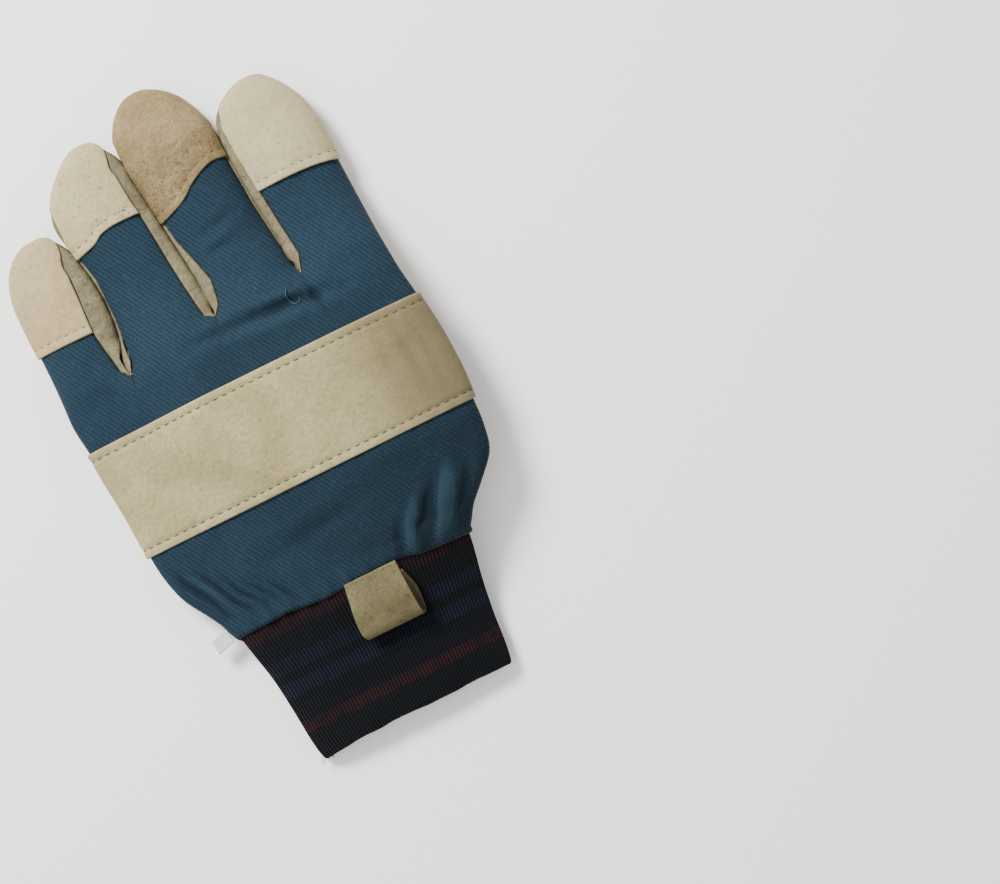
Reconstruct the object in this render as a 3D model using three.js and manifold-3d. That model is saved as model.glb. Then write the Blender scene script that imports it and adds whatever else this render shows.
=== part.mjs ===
// A left-hand work glove lying on its palm, with the thumb folded under it.
// Plan: +X towards the index finger's side, +Y towards the fingertips, +Z up from the table.
// The tables are drawn from the cuff's hem. The last lines move the origin under the middle.

import * as THREE from 'three';
import { mergeVertices } from 'three/addons/utils/BufferGeometryUtils.js';
import Module from 'manifold-3d';

const wasm = await Module();
wasm.setup();

// Driving dimensions in mm
const WALL = 1.4; // leather and twill
const KNIT_WALL = 2.2; // ribbed knit
const GAP = 0.3; // between pieces sewn to each other
const LAYER = GAP + 1.3; // a piece sewn on top of another
const THUMB_THICK = 11; // folded thumb, laid flat
const THUMB_LIFT = THUMB_THICK + GAP;
const SEAM_HEIGHT = 6.6; // side seam above the palm's underside
const FOURCHETTE_LOW = 3.3; // a side strip's lower edge, below the side seam
const SIDE_WRAP = 6; // the back wraps this far round the little finger's side
const THUMB_FOLD = 8; // the folded edge that belongs to the thumb's outer half
const CUFF_TOP = 55.9; // where the knit cuff meets the glove
const BAND_LOW = 100.5;
const BAND_HIGH = 147.5;
const LOOP = { left: 6, right: 30, low: 33, high: 55.3, inside: 7.4, wall: 1.3 };
const LOOP_SLOPE = { start: 9, end: 4, drop: 0.6, closed: 0.9 }; // where the loop narrows towards its seam
const LABEL = { length: 8, width: 6, thickness: 1, y: 59 };
const LAYER_EDGE = 3; // the patch and the hem end this far below the side seam
const MOUTH = 2 * WALL; // the hollow runs out this far past the hand's lower edge
const LEAST = { halfWidth: 1, halfHeight: 0.8 }; // of a section that shrinks to nothing
const MIDDLE = { x: 13.1, y: 133.6 }; // middle of the glove's box in plan

// Points over the upper side of each tube's section, and how square the section is
const HAND_SHAPE = { steps: 14, power: 3.2 };
const FINGER_SHAPE = { steps: 7, power: 2.3 };
const THUMB_SHAPE = { steps: 8, power: 2.6 };
const FOLD_SHAPE = { steps: 5, power: 2.4 };

// Where the palm's underside rises: over the folded thumb's crease line, and over the patch
const CREASE = { wristX: 30, tipX: -15, wristY: 55, tipY: 150 };
const THUMB_RISE = { outside: 28, inside: 8, start: 20, full: 74, fall: 160, end: 206 };
const PATCH_RISE = { start: 28, full: 50, fall: 165, end: 190 };

// Solid cleanup and the plan grid that heights are worked out on
const NEEDLE = 0.008; // a face lower than this is a needle
const NEEDLE_PASSES = 12;
const GRID = 0.01; // corners are rounded to this
const ABOVE = 60; // clear above the glove
const BELOW = -12; // clear below it
const PLAN_GRID = { left: -70, low: -12, step: 14, columns: 13, rows: 22 };

// Cross-sections of the hand and the four fingers, each a flattened oval
// y along the hand, left and right edges, bottom and top heights, and lean,
// which draws the section's left end back towards the cuff
const COLUMNS = ['y', 'left', 'right', 'bottom', 'top', 'lean'];
const HAND = table([
  [CUFF_TOP + GAP, -39.3, 61.6, 0.5, 13.4, 0],
  [62, -42.2, 66, 0.1, 14, 0],
  [70, -46.8, 74, -0.3, 14.6, 0],
  [79, -52.2, 82, -0.6, 15, 0],
  [89, -55.3, 84.7, -0.8, 15.2, 0],
  [BAND_LOW, -56.8, 85.5, -0.8, 15.4, 0],
  [116, -57.4, 86.3, -0.8, 15.6, 0],
  [132, -58.7, 85.6, -0.8, 15.5, 0],
  [BAND_HIGH, -60.1, 83.8, -0.8, 15.2, 0],
  [160, -61.5, 82, -0.8, 15, -1.5],
  [174.5, -59.6, 80, -0.5, 14.4, -3.5],
]);
const FINGERS = {
  little: table([
    [157, -54, -35, 4, 10.4, 0],
    [176.5, -60.7, -31.1, -0.7, 14.9, 0],
    [190, -60.9, -29, -0.8, 15.4, 0],
    [204, -60.9, -28.8, -0.8, 15.4, 0],
    [215, -60.2, -30.4, -0.6, 14.8, 0],
    [224, -57.2, -32.6, 0.8, 13.6, 0],
    [230, -52.4, -36.2, 3, 11.6, 0],
    [232.5, -47.5, -39.8, 5.4, 9.4, 0],
  ]),
  ring: table([
    [157, -25, 3.5, 4, 10.4, 0],
    [177, -29.4, 8.5, -0.7, 15.2, 0],
    [190, -28, 7.9, -0.8, 15.8, 0],
    [208, -28, 5.9, -0.8, 16.2, 0],
    [225, -31.5, 4, -0.8, 16.2, 0],
    [236, -32.5, 2.7, -0.8, 15.8, 0],
    [246, -28, 1.6, 0.6, 14.4, 0],
    [253.5, -21, -2.2, 2.8, 12.2, 0],
    [257.8, -14, -7, 5.4, 9.6, 0],
  ]),
  middle: table([
    [157, 14.5, 40.5, 4, 10.4, 0],
    [178, 9.5, 45.5, -0.7, 15.3, 0],
    [190, 8.8, 43.9, -0.8, 16, 0],
    [208, 6.8, 41.8, -0.8, 16.8, 0],
    [228, 4.9, 40.6, -0.8, 17, 0],
    [242, 3.1, 39.9, -0.8, 16.6, 0],
    [253, 3.2, 36.4, 0, 15.4, 0],
    [261.5, 7.4, 31, 2.4, 13, 0],
    [267.2, 15, 22, 5.4, 9.8, 0],
  ]),
  index: table([
    [157, 52, 75, 4, 10.4, 0],
    [178, 46.4, 80.7, -0.7, 15.1, 0],
    [190, 44.7, 80.2, -0.8, 15.8, 0],
    [208, 42.8, 79.5, -0.8, 16.4, 0],
    [225, 41.5, 78.8, -0.8, 16.4, 0],
    [237, 41.6, 76.5, -0.6, 15.6, 0],
    [246, 44.6, 71.8, 1.4, 13.8, 0],
    [251.2, 51, 67.4, 3.6, 11.4, 0],
    [253.3, 56.5, 64, 5.6, 9.4, 0],
  ]),
};

// Knit cuff, open at both ends
const CUFF = table([
  [0, -30.4, 53, -0.6, 9.6, 0],
  [5, -31.7, 54, -0.8, 10.6, 0],
  [22, -33.4, 55.6, -0.8, 11, 0],
  [36, -35, 57.6, -0.6, 11.6, 0],
  [49, -37.6, 60.2, 0.1, 12.8, 0],
  [CUFF_TOP, -39.2, 61.4, 0.5, 13.3, 0],
]);

// Folded thumb: sections from the tip to the root, each between a point on its crease side
// and a point on its ridge side
const THUMB = ['creaseX', 'creaseY', 'ridgeX', 'ridgeY', 'bottom', 'top'];
const THUMB_SECTIONS = table([
  [-9.5, 166, -3, 169.2, 3.6, 7.4],
  [-15.2, 157, 11, 168.6, 0.4, 10.4],
  [-15.8, 146, 24, 162, -0.8, 11.6],
  [-11.8, 133, 40, 153.5, -0.8, 11.8],
  [-1.5, 119.5, 58, 143.6, -0.8, 11.8],
  [9, 105, 74.5, 134, -0.8, 11.8],
  [19.5, 91, 82, 118, -0.8, 11.8],
  [27, 76.5, 82, 97, -0.8, 11.8],
  [30.5, 66, 77.5, 77, -0.6, 10.8],
  [32, 57, 70, 59, 0, 8.4],
  [41, 51.5, 62, 51, 1.2, 5.6],
], THUMB);

// Passage at the fold, where the thumb opens into the hand
const FOLD_SECTIONS = table([
  [61, 52, 66, 2.4, 7.4],
  [70, 58.5, 75, 0.6, 9.6],
  [79, 66, 82.2, 0, 10.8],
  [89, 68.6, 84.7, -0.2, 11],
  [101, 69.6, 85.6, -0.2, 11],
  [115, 70, 86.1, -0.2, 11],
  [125, 69.8, 85.4, 0.6, 10.6],
  [131, 73, 82.6, 4, 7],
], ['y', 'left', 'right', 'bottom', 'top']);

// Soft rolls on the upper side: middle of each, its heading from +X, half length, half width, height
const FOLDS = table([
  [26, 165, 4, 24, 7, -1.3],
  [22, 192, 8, 14, 7, -0.9],
  [-20, 158, 70, 16, 8, -0.9],
  [-36, 72, 60, 18, 7, -1.4],
  [-20, 68, 80, 14, 7, 1],
  [54, 70, 20, 18, 7, -1.5],
  [58, 84, 12, 20, 8, 1.1],
  [66, 172, 20, 14, 7, -1],
], ['x', 'y', 'heading', 'length', 'width', 'height']);

// Lines between neighbouring fingers, from the crotch to the tips: x, y
const SLITS = {
  littleRing: [[-30.7, 172], [-28.5, 190], [-28.4, 205], [-30.4, 215], [-32.1, 225], [-34, 236]],
  ringMiddle: [[9.1, 174], [8.3, 190], [6.3, 208], [4.4, 226], [2.9, 240], [1.6, 262]],
  middleIndex: [[46.5, 175], [44.3, 190], [42.3, 208], [41, 226], [40.9, 240], [41, 262]],
};

// Lower edges of the leather caps, left to right
const CAP_EDGES = {
  little: [[-75, 190.4], [-40, 190], [-28.6, 189.8]],
  ring: [[-31, 218.4], [-21.7, 220.8], [-19.2, 223.2], [4.5, 224.3]],
  middle: [[5.3, 216.5], [16.7, 220.8], [26.7, 226.7], [34.2, 229.7], [41, 229.3]],
  index: [[42, 211], [71.7, 210.3], [92, 206]],
};

// Side strips seen from above, as closed outlines from the crotch
const FOURCHETTES = {
  fourchette_little_ring: [
    [-31, 166.5], [-28.4, 173], [-26.3, 190], [-26.3, 205], [-28.6, 215], [-30.8, 226], [-31, 238],
    [-35.5, 238], [-39, 230], [-37.2, 223], [-36.4, 210], [-37.3, 190], [-34, 171],
  ],
  fourchette_ring_middle: [
    [9.2, 171], [12.4, 178], [13.4, 188], [11.7, 195], [8.4, 208], [6.3, 225], [4.6, 242],
    [5, 252], [-2.6, 252], [-1.4, 240], [0.3, 220], [1.7, 203], [5, 177],
  ],
  fourchette_middle_index: [
    [47.2, 171.5], [49.4, 182], [47.4, 198], [45.8, 215], [44.3, 228], [44.4, 238], [47.6, 246],
    [43, 252], [36.2, 252], [38.6, 241], [39.3, 228], [40.4, 208], [42.2, 195], [44.4, 181],
  ],
};

// Seams across the palm side
const FRONTS_SEAM = [[-31, 168.6], [-23, 168.4], [4.8, 168.2], [18.5, 167.4], [38.5, 165.2], [46.4, 169.6]];
const PATCH_OUTLINE = [
  [-44.5, 67.5], [-47, 85], [-49.6, 100], [-51.5, 115], [-53.6, 147], [-53.6, 160.5], [-22, 163.5],
  [-19, 166], [14, 165], [36, 160], [66, 140], [66, 80], [58, 68.5], [30, 68.5], [4, 67.5],
  [-22, 63.5],
];
const HEM_OUTLINE = [
  [-38.5, 57], [-41, 63.6], [-22, 62.9], [4, 66.9], [30, 67.9], [57, 67.9], [52, 57],
];

function table(rows, columns = COLUMNS) {
  return rows.map((row) => Object.fromEntries(columns.map((name, i) => [name, row[i]])));
}

const { smoothstep, lerp, degToRad } = THREE.MathUtils;

// Height of the palm's underside over the table: it lies on its patch, and on the folded thumb
function lift(x, y) {
  const crease = lerp(CREASE.wristX, CREASE.tipX, smoothstep(y, CREASE.wristY, CREASE.tipY));
  const along = ({ start, full, fall, end }) => smoothstep(y, start, full) * (1 - smoothstep(y, fall, end));
  const across = smoothstep(x, crease - THUMB_RISE.outside, crease + THUMB_RISE.inside);
  return THUMB_LIFT * across * along(THUMB_RISE) + LAYER * along(PATCH_RISE);
}

// Sum of the soft rolls at one place
function folds(x, y) {
  return FOLDS.reduce((sum, fold) => {
    const turn = degToRad(fold.heading);
    const along = (x - fold.x) * Math.cos(turn) + (y - fold.y) * Math.sin(turn);
    const across = (y - fold.y) * Math.cos(turn) - (x - fold.x) * Math.sin(turn);
    return sum + fold.height * Math.exp(-((along / fold.length) ** 2) - (across / fold.width) ** 2);
  }, 0);
}

// Unit oval: u runs from -1 to 1 across, v is the height at u
function ovalPoints({ steps, power }) {
  const points = [];
  for (let i = 0; i < 2 * steps; i++) {
    const angle = -Math.PI / 2 + (Math.PI * i) / steps;
    const u = Math.sin(angle);
    const v = (1 - Math.min(1, Math.abs(u)) ** power) ** (1 / power);
    points.push({ u, v: i <= steps ? v : -v });
  }
  return points;
}

// A hand, finger or cuff section grown outwards by offset, flat where it rests
function section(row, offset, shape) {
  const centreX = (row.left + row.right) / 2;
  const centreZ = (row.bottom + row.top) / 2;
  const halfWidth = Math.max((row.right - row.left) / 2 + offset, LEAST.halfWidth);
  const halfHeight = Math.max((row.top - row.bottom) / 2 + offset, LEAST.halfHeight);
  return ovalPoints(shape).map(({ u, v }) => {
    const x = centreX + halfWidth * u;
    const y = row.y + (row.lean * (1 - u)) / 2;
    const roll = v > 0 ? v * folds(x, y) : 0;
    const z = Math.max(centreZ + halfHeight * v + roll, -offset);
    return [x, y, z + lift(x, y)];
  });
}

// A section of the thumb, which lies on the table under the patch
function thumbSection(row, offset, shape) {
  const half = Math.hypot(row.ridgeX - row.creaseX, row.ridgeY - row.creaseY) / 2;
  const scale = Math.max(half + offset, LEAST.halfWidth) / half;
  const centreZ = (row.bottom + row.top) / 2;
  const halfHeight = Math.max((row.top - row.bottom) / 2 + offset, LEAST.halfHeight);
  return ovalPoints(shape).map(({ u, v }) => {
    const x = lerp(row.creaseX, row.ridgeX, (1 + u * scale) / 2);
    const y = lerp(row.creaseY, row.ridgeY, (1 + u * scale) / 2);
    const ceiling = lift(x, y) - LAYER - GAP + offset;
    return [x, y, Math.min(Math.max(centreZ + halfHeight * v, -offset), ceiling)];
  });
}

// A section of the passage at the fold, from near the table to inside the hand
function foldSection(row, offset, shape) {
  const centreX = (row.left + row.right) / 2;
  const top = lift(row.right, row.y) + row.top;
  const centreZ = (row.bottom + top) / 2;
  return ovalPoints(shape).map(({ u, v }) => [
    centreX + ((row.right - row.left) / 2 + offset) * u,
    row.y,
    Math.max(centreZ + ((top - row.bottom) / 2 + offset) * v, -offset),
  ]);
}

// Closed solid with its faces pointing out
function solid(geometry) {
  geometry.deleteAttribute('normal');
  geometry.deleteAttribute('uv');
  const merged = mergeVertices(geometry);
  const whole = manifoldOf(merged, new Uint32Array(merged.index.array));
  return whole.volume() > 0 ? whole : manifoldOf(merged, new Uint32Array(merged.index.array).reverse());
}

function manifoldOf(geometry, triVerts) {
  const vertProperties = geometry.attributes.position.array;
  return new wasm.Manifold(new wasm.Mesh({ numProp: 3, vertProperties, triVerts }));
}

// Closed skin through rings of points, each end closed by a strip from its upper to its lower side
function loft(rings) {
  const sides = rings[0].length;
  const last = (rings.length - 1) * sides;
  const faces = [];
  for (let side = 0; side < sides; side++) {
    const next = (side + 1) % sides;
    for (let row = 0; row < last; row += sides) {
      faces.push([row + side, row + sides + side, row + sides + next]);
      faces.push([row + side, row + sides + next, row + next]);
    }
  }
  for (let low = 0, high = sides - 1; low + 1 < high; low++, high--) {
    faces.push([low, low + 1, high], [last + low, last + high, last + low + 1]);
    if (low + 2 < high) {
      faces.push([low + 1, high - 1, high], [last + low + 1, last + high, last + high - 1]);
    }
  }
  const geometry = new THREE.BufferGeometry();
  geometry.setAttribute('position', new THREE.Float32BufferAttribute(rings.flat(2), 3));
  geometry.setIndex(faces.flat());
  return solid(geometry);
}

// Tube through a table of sections, moved inwards at the closed ends by as much as its wall
function tube(rows, makeSection, offset, shape) {
  const trim = Math.min(offset, 0);
  const last = rows.length - 1;
  const ends = rows.map((row, i) => {
    const inward = { 0: -trim, [last]: trim }[i] ?? 0;
    return row.y === undefined ? row : { ...row, y: row.y + inward };
  });
  return loft(ends.map((row) => makeSection(row, offset, shape)));
}

// Everything over a plan outline, grown outwards by offset
function column(outline, offset = 0) {
  const points = outline.map(([x, y]) => new THREE.Vector2(x, y));
  if (THREE.ShapeUtils.isClockWise(points)) points.reverse();
  const grown = points.map((point, i) => {
    const before = points.at(i - 1);
    const after = points[(i + 1) % points.length];
    const into = point.clone().sub(before).normalize();
    const out = after.clone().sub(point).normalize();
    const normal = new THREE.Vector2(into.y + out.y, -into.x - out.x).normalize();
    const stretch = Math.max(normal.x * out.y - normal.y * out.x, 0.5);
    return point.clone().addScaledVector(normal, offset / stretch);
  });
  const shape = new THREE.Shape(grown);
  const geometry = new THREE.ExtrudeGeometry(shape, { depth: ABOVE - BELOW, bevelEnabled: false });
  return solid(geometry.translate(0, 0, BELOW));
}

// Everything between two heights that change from place to place
function between(low, high) {
  const { left, low: start, step, columns, rows } = PLAN_GRID;
  const xs = Array.from({ length: columns }, (_, i) => left + step * i);
  const ys = Array.from({ length: rows }, (_, i) => start + step * i);
  return loft(ys.map((y) => [
    ...xs.map((x) => [x, y, high(x, y)]),
    ...xs.toReversed().map((x) => [x, y, low(x, y)]),
  ]));
}

const seam = (x, y) => lift(x, y) + SEAM_HEIGHT;
const aboveSeam = (offset) => between((x, y) => seam(x, y) + offset, () => ABOVE);
const belowSeam = (offset) => between(() => BELOW, (x, y) => seam(x, y) - offset);
const join = (solids) => solids.reduce((whole, one) => whole.add(one));

// Fingers, thumb and the passage at the fold, grown outwards by offset
function limbs(offset) {
  return join([
    ...Object.values(FINGERS).map((rows) => tube(rows, section, offset, FINGER_SHAPE)),
    tube(THUMB_SECTIONS, thumbSection, offset, THUMB_SHAPE),
    tube(FOLD_SECTIONS, foldSection, offset, FOLD_SHAPE),
  ]);
}

// The whole glove as one wall, before it is cut into its pieces
function gloveWall() {
  const body = (offset) => tube(HAND, section, offset, HAND_SHAPE).add(limbs(offset));
  const mouth = [{ ...HAND[0], y: HAND[0].y - MOUTH }, HAND[0], HAND[1]];
  const hollow = body(-WALL).add(tube(mouth, section, -WALL, HAND_SHAPE));
  return body(0).subtract(hollow);
}

// Between the left edge of the hand and a line inside it
function sideColumn(inside, offset) {
  const rows = HAND.filter((row) => row.y < BAND_HIGH + 20);
  const edge = rows.map((row) => [row.left + inside + offset, row.y]);
  const high = CAP_EDGES.little[0][1] - 3;
  const lastX = FINGERS.little[2].left + inside + offset;
  return column([[-90, 40], [edge[0][0], 40], ...edge, [lastX, high], [-90, high]]);
}

function capOutline(name) {
  const edge = CAP_EDGES[name];
  const above = (slit, low) => slit.filter(([, y]) => y > low + 2);
  const sides = {
    little: [above(SLITS.littleRing, 190), [[-90, 236]]],
    ring: [above(SLITS.ringMiddle, 225), above(SLITS.littleRing, 219).toReversed()],
    middle: [above(SLITS.middleIndex, 230), above(SLITS.ringMiddle, 217).toReversed()],
    index: [[[92, 262]], above(SLITS.middleIndex, 212).toReversed()],
  };
  const [right, left] = sides[name];
  const top = { little: [], ring: [[-34, 262]], middle: [[41, 275], [1, 275]], index: [] };
  return [...edge, ...right, ...top[name], ...left];
}

function frontsOutline() {
  return [...FRONTS_SEAM, ...SLITS.middleIndex.slice(1), [41, 275], [-34, 275],
    ...SLITS.littleRing.slice(1).toReversed()];
}

function foldOutline() {
  const edge = FOLD_SECTIONS.map((row) => [row.right - THUMB_FOLD, row.y]);
  return [[edge[0][0], 40], ...edge, [edge.at(-1)[0], 133.5], [100, 133.5], [100, 40]];
}

// All the pieces cut from the one wall
function cutPieces() {
  const wall = gloveWall();
  const half = GAP / 2;
  const strips = (offset) => Object.values(FOURCHETTES).map((outline) => column(outline, offset)
    .intersect(between((x, y) => seam(x, y) - FOURCHETTE_LOW - offset, () => ABOVE)));
  const allStrips = join(strips(GAP));
  const upper = wall.intersect(aboveSeam(half).add(sideColumn(SIDE_WRAP, 0))).subtract(allStrips);
  const lower = wall.intersect(belowSeam(half)).subtract(sideColumn(SIDE_WRAP, GAP)).subtract(allStrips);
  const caps = Object.keys(CAP_EDGES).map((name) => [`${name}_tip`, capOutline(name)]);
  const underHand = between(() => BELOW, (x, y) => lift(x, y) - LAYER / 2);
  const thumbSole = between(() => BELOW, () => THUMB_THICK / 2 - half);
  const thumbTop = between(() => THUMB_THICK / 2 + half, () => ABOVE);
  const thumb = lower.intersect(underHand.add(column(foldOutline())));
  const palm = lower.subtract(underHand).subtract(column(foldOutline(), GAP));
  const pieces = {
    back_cloth: upper.subtract(join(caps.map(([, outline]) => column(outline, GAP)))),
    palm_leather: palm.subtract(column(frontsOutline(), GAP)),
    middle_finger_fronts: palm.intersect(column(frontsOutline())),
    thumb_outer: thumb.intersect(thumbSole.add(column(foldOutline()))),
    thumb_inner: thumb.intersect(thumbTop).subtract(column(foldOutline(), GAP)),
  };
  caps.forEach(([name, outline]) => {
    pieces[name] = upper.intersect(column(outline));
  });
  Object.keys(FOURCHETTES).forEach((name, i) => {
    pieces[name] = wall.intersect(strips(0)[i]);
  });
  return pieces;
}

// A second layer that follows the hand's outside
function handLayer() {
  return tube(HAND, section, LAYER, HAND_SHAPE).subtract(tube(HAND, section, GAP, HAND_SHAPE));
}

function knuckleBand() {
  const span = column([[-95, BAND_LOW], [110, BAND_LOW], [110, BAND_HIGH], [-95, BAND_HIGH]]);
  const round = aboveSeam(GAP / 2).add(sideColumn(SIDE_WRAP - 1, 0));
  return handLayer().intersect(span).intersect(round);
}

function palmLayer(outline) {
  return handLayer().intersect(column(outline)).intersect(belowSeam(LAYER_EDGE)).subtract(limbs(GAP));
}

function knitCuff() {
  const inside = [{ ...CUFF[0], y: -5 }, ...CUFF, { ...CUFF.at(-1), y: CUFF_TOP + 8 }];
  return tube(CUFF, section, 0, HAND_SHAPE).subtract(tube(inside, section, -KNIT_WALL, HAND_SHAPE));
}

// Height of the cuff's upper side
function cuffTop(x, y) {
  const above = Math.max(CUFF.findIndex((row) => row.y >= y), 1);
  const [a, b] = [CUFF[above - 1], CUFF[above]];
  const t = (y - a.y) / (b.y - a.y);
  const [left, right] = [lerp(a.left, b.left, t), lerp(a.right, b.right, t)];
  const [bottom, top] = [lerp(a.bottom, b.bottom, t), lerp(a.top, b.top, t)];
  const u = (2 * x - left - right) / (right - left);
  const { power } = HAND_SHAPE;
  return (bottom + top) / 2 + ((top - bottom) / 2) * (1 - Math.abs(u) ** power) ** (1 / power) + lift(x, y);
}

// A strip of leather folded into a loop and sewn in at the top of the cuff
function pullLoop() {
  const rise = LOOP.inside + 2 * LOOP.wall;
  const rounded = (inset) => {
    const outline = new THREE.Shape();
    const radius = rise / 2 - inset;
    outline.absarc(LOOP.low + rise / 2, rise / 2, radius, Math.PI / 2, (Math.PI * 3) / 2, false);
    outline.lineTo(LOOP.high - LOOP_SLOPE.end - inset, inset);
    outline.lineTo(LOOP.high - inset, inset * LOOP_SLOPE.closed);
    outline.lineTo(LOOP.high - inset, 2 * LOOP.wall + GAP - inset * LOOP_SLOPE.closed);
    outline.lineTo(LOOP.high - LOOP_SLOPE.start - inset, rise - inset - LOOP_SLOPE.drop);
    return outline.getPoints(5).slice(0, -1);
  };
  const tunnel = (inset, left, right) => loft([0, 1, 2, 3].map((i) => {
    const x = lerp(left, right, i / 3);
    return rounded(inset).map((p) => [x, p.x, p.y + cuffTop(lerp(LOOP.left, LOOP.right, i / 3), p.x) + GAP]);
  }));
  const strip = tunnel(0, LOOP.left, LOOP.right);
  const hollow = tunnel(LOOP.wall, LOOP.left - 1, LOOP.right + 1);
  return strip.subtract(hollow).subtract(tube(CUFF, section, GAP, HAND_SHAPE));
}

function sizeLabel() {
  const geometry = new THREE.BoxGeometry(LABEL.length, LABEL.width, LABEL.thickness);
  const inner = HAND[1].left - GAP;
  const z = seam(inner, LABEL.y);
  return solid(geometry.translate(inner - LABEL.length / 2, LABEL.y, z));
}

// The one body that a piece is, without the crumbs and needle faces that a cut leaves at its rim
function oneBody(whole) {
  const largest = (solids) => solids.sort((a, b) => b.volume() - a.volume())[0];
  const geometry = geometryOf(largest(whole.decompose()));
  geometry.attributes.position.array.forEach((value, i, all) => {
    all[i] = Math.round(value / GRID) * GRID;
  });
  return withoutNeedles(geometryOf(largest(solid(geometry).decompose())));
}

// A needle face and the face beside its long edge share the other diagonal instead
function withoutNeedles(geometry) {
  const position = geometry.attributes.position;
  const corner = (i) => new THREE.Vector3().fromBufferAttribute(position, i);
  const faces = Array.from({ length: geometry.index.count / 3 }, (_, i) => (
    [0, 1, 2].map((k) => geometry.index.getX(3 * i + k))));
  for (let pass = 0; pass < NEEDLE_PASSES; pass++) {
    const beside = new Map();
    faces.forEach((face, i) => face.forEach((v, k) => beside.set(`${v},${face[(k + 1) % 3]}`, i)));
    const turned = new Set();
    faces.forEach((face, i) => {
      const lengths = face.map((v, k) => corner(v).distanceTo(corner(face[(k + 1) % 3])));
      const k = lengths.indexOf(Math.max(...lengths));
      const [a, b, c] = [0, 1, 2].map((step) => face[(k + step) % 3]);
      const height = (2 * new THREE.Triangle(corner(a), corner(b), corner(c)).getArea()) / lengths[k];
      const j = beside.get(`${b},${a}`);
      if (height > NEEDLE || turned.has(i) || turned.has(j)) return;
      const d = faces[j].find((v) => v !== a && v !== b);
      if (d === c || beside.has(`${c},${d}`) || beside.has(`${d},${c}`)) return;
      faces[i] = [a, d, c];
      faces[j] = [d, b, c];
      turned.add(i).add(j);
      beside.set(`${c},${d}`, j);
    });
    if (!turned.size) break;
  }
  geometry.setIndex(faces.flat());
  return geometry;
}

function geometryOf(whole) {
  const surface = whole.getMesh();
  const geometry = new THREE.BufferGeometry();
  geometry.setAttribute('position', new THREE.BufferAttribute(surface.vertProperties, 3));
  geometry.setIndex(new THREE.BufferAttribute(surface.triVerts, 1));
  return geometry;
}

const MATERIALS = {
  twill: { color: 0x245a6c, roughness: 0.92, metalness: 0 },
  smoothLeather: { color: 0xcdbf9f, roughness: 0.72, metalness: 0 },
  yellowLeather: { color: 0xb9a878, roughness: 0.75, metalness: 0 },
  suede: { color: 0x8b7b4f, roughness: 0.95, metalness: 0 },
  knit: { color: 0x16171f, roughness: 0.95, metalness: 0 },
  label: { color: 0xe9e9e4, roughness: 0.8, metalness: 0 },
};

const FINISH = {
  back_cloth: 'twill',
  palm_leather: 'yellowLeather',
  middle_finger_fronts: 'yellowLeather',
  thumb_outer: 'suede',
  thumb_inner: 'suede',
  palm_patch: 'suede',
  knit_cuff: 'knit',
  size_label: 'label',
};

const glove = new THREE.Group();
glove.position.set(-MIDDLE.x, -MIDDLE.y, 0);

const pieces = {
  ...cutPieces(),
  knuckle_band: knuckleBand(),
  palm_patch: palmLayer(PATCH_OUTLINE),
  palm_hem: palmLayer(HEM_OUTLINE),
  knit_cuff: knitCuff(),
  pull_loop: pullLoop(),
  size_label: sizeLabel(),
};

for (const [name, piece] of Object.entries(pieces)) {
  const geometry = oneBody(piece);
  geometry.computeVertexNormals();
  const material = new THREE.MeshStandardMaterial(MATERIALS[FINISH[name] ?? 'smoothLeather']);
  const mesh = new THREE.Mesh(geometry, material);
  mesh.name = name;
  glove.add(mesh);
}

export default glove;
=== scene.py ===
import math

import bmesh
import bpy
import numpy as np
from mathutils import Euler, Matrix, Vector


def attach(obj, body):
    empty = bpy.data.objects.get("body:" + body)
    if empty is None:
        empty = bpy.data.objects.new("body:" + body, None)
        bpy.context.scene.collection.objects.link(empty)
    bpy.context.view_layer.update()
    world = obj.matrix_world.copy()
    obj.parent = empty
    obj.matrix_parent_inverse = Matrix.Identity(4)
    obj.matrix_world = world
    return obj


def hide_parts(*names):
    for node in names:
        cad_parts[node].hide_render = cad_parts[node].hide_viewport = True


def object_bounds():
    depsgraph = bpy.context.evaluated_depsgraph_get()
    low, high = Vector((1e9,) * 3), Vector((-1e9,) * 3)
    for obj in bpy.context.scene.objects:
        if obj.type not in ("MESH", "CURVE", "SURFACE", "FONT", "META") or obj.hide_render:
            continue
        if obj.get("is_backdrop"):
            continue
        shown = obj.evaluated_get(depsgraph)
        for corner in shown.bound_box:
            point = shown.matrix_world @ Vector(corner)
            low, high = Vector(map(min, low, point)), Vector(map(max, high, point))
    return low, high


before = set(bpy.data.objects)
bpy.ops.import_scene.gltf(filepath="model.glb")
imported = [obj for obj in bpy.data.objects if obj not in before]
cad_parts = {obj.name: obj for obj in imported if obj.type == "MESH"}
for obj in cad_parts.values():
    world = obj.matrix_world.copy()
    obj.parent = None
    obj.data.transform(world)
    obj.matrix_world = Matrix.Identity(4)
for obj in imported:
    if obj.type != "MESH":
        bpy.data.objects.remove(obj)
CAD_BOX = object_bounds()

# A left-hand work glove lying on its palm, the thumb folded under it.
# Tables are in mm, drawn from the cuff's hem: x to the index finger's side, y to the fingertips.
MM = 0.001
MIDDLE = np.array([13.1, 133.6, 0.0])
WALL = 1.3
STRIP_WALL = 1.0
LOOP_WALL = 1.2
TAG_WALL = 0.7
KNIT_WALL = 2.2
LAYER = 1.3
THUMB_LIFT = 11.3
PATCH_LIFT = 1.6
STITCH = {"pitch": 3.9, "length": 2.2, "radius": 0.2, "inset": 3.5}
PALM_STITCH = {"pitch": 3.0, "length": 1.5, "radius": 0.22}
HAND_POWER = 3.2
FINGER_POWER = 2.3
THUMB_POWER = 2.6
FOLD_POWER = 2.4
FOLD_TURN = (1.45 * np.pi, 0.82 * np.pi)
CUFF_POWER = 2.8
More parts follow.
